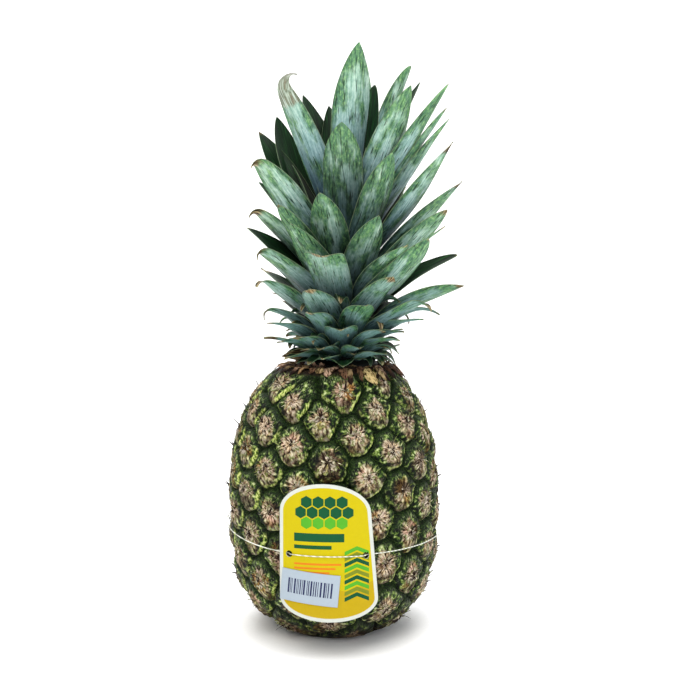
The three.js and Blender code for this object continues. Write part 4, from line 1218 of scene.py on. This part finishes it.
# The stem takes the look of an inner leaf face, low and deep inside the crown, far from tip and margin,
# so it gets the full painted shade of the crown's inside.
told = {"leaf_place": (0.0, 80.0, 0.0), "leaf_looks": (0.0, 0.0, 1.0), "leaf_deep": (1.0, 0.0, 0.0)}
told = {key: np.tile(value, (len(points), 1)) for key, value in told.items()}
told |= {"leaf_inner": np.ones(len(points)), "leaf_edge": np.full(len(points), 5.0)}
dress(new_piece("crown_stem", points, faces, [leaf_skin], told), "leaf", "crown")

# %% [markdown]
# ## The collar
#
# Between the eyes and the crown sit the bracts of eyes that never swelled. They are dry, curl every way
# and leave dark gaps, where the near-black ring that they grow from paints the shade. They get the papery
# finish of the eyes' bracts, in browns of their own, as broader blades in three rows. The lowest row hangs
# over the shoulder, and all grow from one ring.

# %% Collar bracts
COLLAR = {
    "x": 3.5, "inner": 23.2, "outer": 30.0, "low": 148.3, "high": (1.4, 1.0), "root": 1.2, "droop_to": 115,
    "clear": 1.5, "over_lowest": 0.6,
}
# Number of bracts, then ranges: root radius, length, half width, and the height that the point gains.
COLLAR_ROWS = (
    (36, (28.0, 31.0), (5.0, 9.5), (1.4, 3.2), (-9.0, -6.0)),
    (21, (25.0, 27.0), (4.0, 7.0), (1.6, 3.6), (-3.0, -0.5)),
    (20, (23.8, 24.8), (3.0, 5.0), (1.8, 3.0), (0.5, 3.0)),
)
# One broad bract the colour of straw hangs far down the shoulder on the right.
STRAW = {"place": (0, 3), "length": 12.0, "half": 3.8, "look": (1.0, -0.6)}


def collar_blade(chance, row, k):
    """Bract k of a row: points, faces and what its finish is told."""
    number, roots, lengths, widths, gains = COLLAR_ROWS[row]
    straw = (row, k) == STRAW["place"]
    turn = (k + 0.5 * row) * 2 * math.pi / number + chance.uniform(-0.08, 0.08)
    outward = around(1.0, turn, 0.0)
    t = np.linspace(0, 1, 9)
    length = chance.uniform(*lengths)
    length = STRAW["length"] if straw else length
    radii = chance.uniform(*roots) + length * t
    z = COLLAR["low"] + COLLAR["root"] + chance.uniform(*gains) * t**1.3
    # A drooping bract follows the shoulder and never sinks into it. The middle row also clears the lowest.
    from_axis = np.linalg.norm(outward[None, :2] * radii[:, None] + [COLLAR["x"], 0], axis=1)
    shoulder_z = np.linspace(FRUIT["top"], COLLAR["droop_to"], 90)
    shoulder = np.interp(from_axis, fruit_radius(shoulder_z), shoulder_z)
    z = np.maximum(z, shoulder + COLLAR["clear"] + COLLAR["over_lowest"] * (row == 1))
    spine = outward * radii[:, None] + np.array([COLLAR["x"], 0, 0]) + z[:, None] * np.array([0, 0, 1.0])
    ahead = unit(np.gradient(spine, axis=0))
    side = np.broadcast_to(around(1.0, turn + math.pi / 2, 0.0), ahead.shape)
    half = chance.uniform(*widths)
    halves = (STRAW["half"] if straw else half) * np.maximum(0.04, 1 - t**6)
    points, faces, place = blade(spine, side, np.cross(side, ahead), halves, 0.5, 4, chance)
    look = (chance.uniform(0, 0.9), chance.choice([-0.6, -0.4, -0.2, 0.2]))
    return points, faces, grown(place, length, *(STRAW["look"] if straw else look))


print(sum(row[0] for row in COLLAR_ROWS), "bracts in the collar")

# %% The collar as a piece
RING_SIDES = 96
chance = np.random.default_rng(41)
parts = [collar_blade(chance, row, k) for row, (number, *_) in enumerate(COLLAR_ROWS) for k in range(number)]
inner_high, outer_high = COLLAR["high"]
section = [(COLLAR["inner"], 0.0), (COLLAR["outer"], 0.0)]
section += [(COLLAR["outer"], outer_high), (COLLAR["inner"], inner_high)]
ring = np.concatenate([around(r, full_turn(RING_SIDES), COLLAR["low"] + h) for r, h in section])
ring = ring + [COLLAR["x"], 0, 0]
# The ring is burnt near-black, so the gaps between the bracts show it as a painted shade.
charred_shade_ring = {"grown": np.tile([0.8, 0.2, 1.0], (len(ring), 1)), "grain": np.zeros((len(ring), 3))}
parts.append((ring, grid_faces(len(section), RING_SIDES, wrap=True, ring=True), charred_shade_ring))
collar_bract = bract_finish(
    "brown_and_straw_collar_bract",
    [
        (0.0, "#30190F"), (0.2, "#8A6650"), (0.4, "#C8A690"), (0.55, "#4C3223"), (0.75, "#9A7C5A"),
        (0.9, "#AE9870"), (1.0, "#D8BE86"),
    ],
    burnt="#1E0F0A", grown_on="#2E1A10",
)
points, faces, told = join(parts)
dress(new_piece("collar_dry_bracts", points, faces, [collar_bract], told), "dry_husk", "collar_bracts")

# %% [markdown]
# ## The cut stalk
#
# The stalk was cut flush with the base. Its face shows the ends of tough fibres in a pale, dry pith. It
# is flat and its CAD solid is already right, so it keeps that solid and gets a finish: fine dots, about
# 0.8 mm apart, which are brown in their middles and pale between.

# %% Stalk material
pith, add, shader = new_material("dry_cut_stalk_pith", roughness=0.85, ior=1.4)
spot = add("TexCoord", out="Object")
dots = add("TexVoronoi", {"Vector": spot, "Scale": 1 / (0.8 * MM)})
colour = add("ValToRGB", [dots], [(0.1, "#7D6338"), (0.35, "#B89C66"), (0.8, "#DCC896")])
bump = add("Bump", {"Strength": 0.4, "Distance": 0.4 * MM, "Height": dots})
link(shader, Base_Color=colour, Normal=bump)
stalk_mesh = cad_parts["stalk"].data
stalk_mesh.materials.clear()
stalk_mesh.materials.append(pith)
print("the stalk's solid is finished in", pith.name)

# %% [markdown]
# ## The swing tag
#
# The card is printed, varnished and bent round the fruit. Its print is geometry here: the outline, the
# border and every printed shape are drawn flat in millimetres, one constrained triangulation cuts
# them all into the sheet, and each triangle takes the ink of the shape that it lies in. Edges stay sharp
# at any distance, and no picture is needed. The design is a plain one: a honeycomb in two greens, bars,
# orange lines, a deeper yellow foot and a column of chevrons.

# %% Inks


def plain_ink(name, code, roughness=0.45, coat=0.05):
    """Printed ink or bare paper: an even colour with a faint mottle. Its coat is the varnish."""
    made, add, shader = new_material(name, roughness, ior=1.5, Specular_IOR_Level=0.1, Coat_Weight=coat)
    spot = add("TexCoord", out="Object")
    fleck = add("TexNoise", {"Vector": spot, "Scale": 1 / (1.5 * MM), "Detail": 3.0})
    tone = add("MapRange", {0: fleck, 3: 0.94, 4: 1.06})
    shade = add("HueSaturation", {"Value": tone, "Color": code})
    bump = add("Bump", {"Strength": 0.08, "Distance": 0.1 * MM, "Height": fleck})
    link(shader, Base_Color=shade, Normal=bump)
    return made


INKS = {
    "white": plain_ink("varnished_white_card", "#BEC2BA"),
    "yellow": plain_ink("yellow_print", "#B6A600"),
    "amber": plain_ink("amber_print", "#AC9208"),
    "forest": plain_ink("dark_green_print", "#0A4A2A"),
    "lime": plain_ink("light_green_print", "#4B9A24"),
    "olive": plain_ink("olive_print", "#6E7A1C"),
    "orange": plain_ink("orange_print", "#C87414"),
}
print(len(INKS), "inks")

# %% [markdown]
# The sheet is cut by Blender's own constrained Delaunay triangulation. It is given closed outlines, and
# says for each triangle which outlines it lies in. A grid of loose points keeps the triangles small, so
# that the flat drawing bends smoothly round the fruit.

# %% Cutting a flat sheet


def in_short_edges(outline, longest):
    """The same outline with points added, so that a straight edge can follow the card's bend."""
    corners = np.asarray(outline, float)
    points = []
    for a, b in zip(corners, np.roll(corners, -1, axis=0)):
        count = math.ceil(math.dist(a, b) / longest)
        points += [a + (b - a) * k / count for k in range(count)]
    return np.array(points)


def cut_sheet(outlines, printed, spacing):
    """Cuts the first outline into triangles along all others. The outlines from number printed on are holes.

    Gives the flat points, the triangles and the last outline that each triangle lies in."""
    points, loops = [], []
    for outline in outlines:
        loops.append(list(range(len(points), len(points) + len(outline))))
        points += [Vector(p) for p in outline]
    low, high = outlines[0].min(0), outlines[0].max(0)
    for x in np.arange(low[0], high[0], spacing):
        points += [Vector((x, y)) for y in np.arange(low[1], high[1], spacing)]
    places, _, cut, _, _, origins = delaunay_2d_cdt(points, [], loops, 0, 1e-5)
    inside = [(face, max(origin)) for face, origin in zip(cut, origins) if 0 in origin]
    kept = [(face, last) for face, last in inside if last < printed]
    used = sorted({v for face, _ in kept for v in face})
    index = {v: i for i, v in enumerate(used)}
    faces = [[index[v] for v in face] for face, _ in kept]
    return np.array([places[v] for v in used]), faces, [last for _, last in kept]


square = np.array([(0, 0), (2, 0), (2, 2), (0, 2)])
print("a 2 mm square falls into", len(cut_sheet([square], 1, 1.0)[1]), "triangles")

# %% Bending and printing a sheet
SHEET_GRID = 2.0  # spacing of the loose points


def printed_sheet(name, shapes, holes, inner_radius, thick, inks):
    """shapes is a list of (ink, outline), the first being the sheet. Later shapes are printed over."""
    outlines = [in_short_edges(outline, SHEET_GRID) for outline in [o for _, o in shapes] + holes]
    flat, front, shape = cut_sheet(outlines, len(shapes), SHEET_GRID)
    turn = flat[:, 0] / inner_radius
    radii = (inner_radius + thick, inner_radius)
    points = np.concatenate([around(radius, turn, flat[:, 1]) for radius in radii])
    back = [[len(flat) + v for v in face[::-1]] for face in front]
    edges = dict.fromkeys((a, b) for face in front for a, b in zip(face, face[1:] + face[:1]))
    rim = [[b, a, len(flat) + a, len(flat) + b] for a, b in edges if (b, a) not in edges]
    names = list(inks)
    slots = [names.index(shapes[i][0]) for i in shape] + [names.index("white")] * (len(back) + len(rim))
    return new_piece(name, points, front + back + rim, list(inks.values()), slots=slots, smooth_shaded=False)


def circle(x, y, radius, sides=24, turn=0.0):
    """A regular outline, whose first corner is turned by that many degrees."""
    turn = full_turn(sides) + math.radians(turn)
    return np.stack([x + radius * np.cos(turn), y + radius * np.sin(turn)], axis=-1)


def box(x0, y0, x1, y1):
    """A rectangle's outline."""
    return [(x0, y0), (x1, y0), (x1, y1), (x0, y1)]


print("printed sheets have a point every", SHEET_GRID, "mm")

# %% The card's outline
TAG = {
    "inner": 62.0, "thick": 0.7, "top": 92.6, "shoulder": 78.0, "hip": 33.0, "bottom": 20.8, "border": 1.9,
    "half": (24.0, 26.0), "middle": (-4.6, -2.6), "hole": 1.75, "holes": (-21.5, 15.5), "steps": 14,
}


def tag_outline(inset):
    """The card's outline, or a line inside it, from its foot round by the right."""
    steps = np.radians(np.linspace(0, 90, TAG["steps"]))
    dome = TAG["top"] - TAG["shoulder"] - inset
    foot = TAG["hip"] - TAG["bottom"] - inset

    def slant(z, pair):
        return pair[1] + (pair[0] - pair[1]) * (z - TAG["hip"]) / (TAG["shoulder"] - TAG["hip"])

    def at_foot(angle, sign):
        return side(TAG["hip"] - foot * math.cos(angle), math.sin(angle), sign)

    def at_dome(angle, sign):
        return side(TAG["shoulder"] + dome * math.cos(angle), math.sin(angle), sign)

    def side(z, share, sign):
        half = (slant(z, TAG["half"]) - inset) * share
        return (slant(z, TAG["middle"]) + sign * half, z)

    right_up = [at_foot(a, 1) for a in steps] + [at_dome(a, 1) for a in steps[::-1]]
    left_down = [at_dome(a, -1) for a in steps[1:]] + [at_foot(a, -1) for a in steps[::-1][:-1]]
    return right_up + left_down


print("the card's outline has", len(tag_outline(0.0)), "points")

# %% [markdown]
# The drawing on the card, from the top: thirteen honeycomb cells in rows of four, five and four, two solid
# bars, three thin orange lines, a wide amber foot, and nine chevrons in a column at the right. The thread's
# two holes lie at the height where the thread passes them.

# %% The tag's drawing
THREAD = {"radius": 0.26, "z": 55.2, "slope": 2.1, "lean": 4.2, "ring": 61.25, "hop": 1.2, "sides": 12}
CELLS = {"x": -4.8, "top": 83.2, "across": 6.1, "down": 5.4, "radius": 3.25, "rows": (4, 5, 4)}
CHEVRONS = {"count": 9, "low": 31.5, "step": 3.0, "inks": ("forest", "olive", "lime")}


def thread_height(turn):
    """The thread sits higher at the back, and a little higher on the left than on the right."""
    return THREAD["z"] - THREAD["slope"] * np.sin(turn) ** 3 + THREAD["lean"] * (1 - np.cos(turn))


hole_turns = np.radians(TAG["holes"])
holes = [circle(turn * TAG["inner"], thread_height(turn), TAG["hole"]) for turn in hole_turns]
rim = tag_outline(TAG["border"])
drawing = [("white", tag_outline(0.0)), ("yellow", rim)]
# The amber foot follows the border from side to side, and its upper edge is a wave.
wave = [(20.7, 42.0), (8.0, 37.0), (-10.0, 39.0)]
drawing.append(("amber", rim[:TAG["steps"]] + wave + rim[1 - TAG["steps"]:]))
for row, number in enumerate(CELLS["rows"]):
    for k in range(number):
        x, z = CELLS["x"] + CELLS["across"] * (k - (number - 1) / 2), CELLS["top"] - CELLS["down"] * row
        drawing.append(("lime" if row == 2 else "forest", circle(x, z, CELLS["radius"], 6, turn=30)))
drawing += [("forest", box(-20.5, 62.6, 5.5, 67.0)), ("forest", box(-20.5, 58.8, -1.0, 60.8))]
for line in range(3):
    drawing.append(("orange", box(-20.5, 50.4 - 2.2 * line, 4.0 - 3 * line, 51.5 - 2.2 * line)))
for k in range(CHEVRONS["count"]):
    z = CHEVRONS["low"] + CHEVRONS["step"] * k
    arrow = [(5.6, z), (12.0, z + 2.8), (18.4, z), (18.4, z + 2.1), (12.0, z + 4.9), (5.6, z + 2.1)]
    drawing.append((CHEVRONS["inks"][k % 3], arrow))
card = printed_sheet("tag_card_printed", drawing, holes, TAG["inner"], TAG["thick"], INKS)
dress(card, "tag_card", "tag_card")

# %% [markdown]
# The price label is thin matt paper, stuck on a little askew. It has plain upright bars of a few widths,
# which say nothing, in dark blue.

# %% Price label
LABEL = {"width": 31.0, "height": 16.5, "arc": -12.6, "z": 38.5, "tilt": -5.5, "thick": 0.3, "gap": 0.3}
BARS = {"left": 4.0, "right": 3.5, "half": 3.9, "widths": [0.35, 0.55, 0.9], "gaps": [0.4, 0.6, 0.9]}
PAPER = {
    "white": plain_ink("matt_label_paper", "#9CA8B3", roughness=0.7, coat=0.0),
    "navy": plain_ink("dark_blue_label_print", "#2B3050", roughness=0.7, coat=0.0),
}


def on_label(corners):
    """Label millimetres to the card's."""
    cosine, sine = math.cos(math.radians(LABEL["tilt"])), math.sin(math.radians(LABEL["tilt"]))
    return [(LABEL["arc"] + u * cosine - v * sine, LABEL["z"] + u * sine + v * cosine) for u, v in corners]


half_w, half_h = LABEL["width"] / 2, LABEL["height"] / 2
drawing = [("white", on_label(box(-half_w, -half_h, half_w, half_h)))]
chance = np.random.default_rng(3)
x = -half_w + BARS["left"]
while x < half_w - BARS["right"]:
    bar = chance.choice(BARS["widths"])
    drawing.append(("navy", on_label(box(x, -BARS["half"], x + bar, BARS["half"]))))
    x += bar + chance.choice(BARS["gaps"])
on_card = TAG["inner"] + TAG["thick"] + LABEL["gap"]
label = printed_sheet("price_label_printed", drawing, [], on_card, LABEL["thick"], PAPER)
dress(label, "label_paper", "price_label")

# %% [markdown]
# ## The elastic thread
#
# A thin knitted elastic goes round the fruit, out through one hole of the card, across it and in through
# the other. It is stretched, so it bridges the grooves from crest to crest. The tube follows that route
# and its finish carries a soft twist, one turn in about 3 mm.

# %% The thread's route
GAP = 0.3  # between the card and the thread
BEFORE = 12  # degrees from the loop's first point to the left hole
ROUTE_POINTS = 420
over = TAG["inner"] + TAG["thick"] + GAP + THREAD["radius"]
left, right = TAG["holes"]
angles = np.linspace(left - BEFORE, left - BEFORE + 360, ROUTE_POINTS, endpoint=False)
out = smooth(angles, left - THREAD["hop"], left + THREAD["hop"])
back_in = smooth(angles, right - THREAD["hop"], right + THREAD["hop"])
radii = THREAD["ring"] + (over - THREAD["ring"]) * (out - back_in)
turns = np.radians(angles)
route = around(radii, turns, thread_height(turns))
print("the loop is", round(float(np.linalg.norm(route - np.roll(route, 1, axis=0), axis=1).sum())), "mm long")

# %% Elastic thread
ahead = unit(np.roll(route, -1, axis=0) - np.roll(route, 1, axis=0))
sideways = unit(np.cross(ahead, [0, 0, 1.0]))
above = np.cross(sideways, ahead)
spin = full_turn(THREAD["sides"])[None, :, None]
tube = route[:, None] + THREAD["radius"] * (sideways[:, None] * np.cos(spin) + above[:, None] * np.sin(spin))
elastic, add, shader = new_material("knitted_white_elastic", roughness=0.6, ior=1.5)
spot = add("TexCoord", out="Object")
# A wave of scale 1 comes round every 0.63, so one of 5 mm does so every 3 mm.
waves = {"Vector": spot, "Scale": 1 / (5.0 * MM), "Distortion": 1.5}
twist = add("TexWave", waves, out="Fac", bands_direction="DIAGONAL")
colour = add("ValToRGB", [twist], [(0.1, "#A4A898"), (0.8, "#DFE1D6")])
bump = add("Bump", {"Strength": 0.5, "Distance": 0.2 * MM, "Height": twist})
link(shader, Base_Color=colour, Normal=bump)
faces = grid_faces(len(route), THREAD["sides"], wrap=True, ring=True)
dress(new_piece("elastic_thread", tube.reshape(-1, 3), faces, [elastic]), "elastic", "tag_thread")

# %% [markdown]
# ## Floor and light
#
# The pineapple stands on white paper that curves up behind it, so there is no horizon. The light is a
# large soft lamp above the camera and to its left, a weaker one on the right to open the shadows, a broad
# one overhead, one for the paper behind, and a pale sky.

# %% Paper sweep
paper, add, shader = new_material("matt_white_studio_paper", roughness=0.9)
spot = add("TexCoord", out="Object")
tooth = add("TexNoise", {"Vector": spot, "Scale": 1 / (2.0 * MM), "Detail": 2.0})
link(shader, Base_Color=add("ValToRGB", [tooth], [(0.3, "#F6F6F6"), (0.7, "#FAFAFA")]))
SWEEP = {"front": -1500.0, "bend_from": 900.0, "bend_radius": 500.0, "top": 2600.0, "half_width": 2500.0}
start, radius = SWEEP["bend_from"], SWEEP["bend_radius"]
bend = np.radians(np.linspace(0, 90, 24))
sweep = [(SWEEP["front"], 0.0)]
sweep += [(start + radius * math.sin(a), radius - radius * math.cos(a)) for a in bend]
sweep.append((start + radius, SWEEP["top"]))
paper_points = [(x, y, z) for y, z in sweep for x in (-SWEEP["half_width"], SWEEP["half_width"])]
paper_piece = new_piece("studio_paper", paper_points, grid_faces(len(sweep), 2, flip=True), [paper])
print("the paper reaches", round(sweep[-1][1] / 1000, 1), "m high")

# %% Lamps
# Name, place, size in mm, power in watts, colour, and the place that it is aimed at.
LAMPS = (
    ("key_softbox", (-300, -780, 820), 700, 6.6, "#FFFBF4", (0, 0, 150)),
    ("fill_softbox", (620, -640, 380), 800, 2.9, "#F4F8FF", (0, 0, 150)),
    ("top_softbox", (0, -100, 1300), 1300, 20.0, "#FFFFFF", (0, 0, 0)),
    ("backdrop_softbox", (0, 600, 1400), 1200, 14.0, "#FFFFFF", (0, 1400, 450)),
)
for name, place, size, power, code, target in LAMPS:
    lamp = bpy.data.lights.new(name, "AREA")
    lamp.size = size * MM
    lamp.energy = power
    lamp.color = linear(code)[:3]
    aim_at(bpy.data.objects.new(name, lamp), place, target)
sky = bpy.data.worlds.new("pale_sky")
sky.use_nodes = True
sky.node_tree.nodes["Background"].inputs["Color"].default_value = linear("#FFFFFF")
sky.node_tree.nodes["Background"].inputs["Strength"].default_value = 0.42
bpy.context.scene.world = sky
bpy.context.scene.view_settings.view_transform = "Standard"
print(len(LAMPS), "lamps")
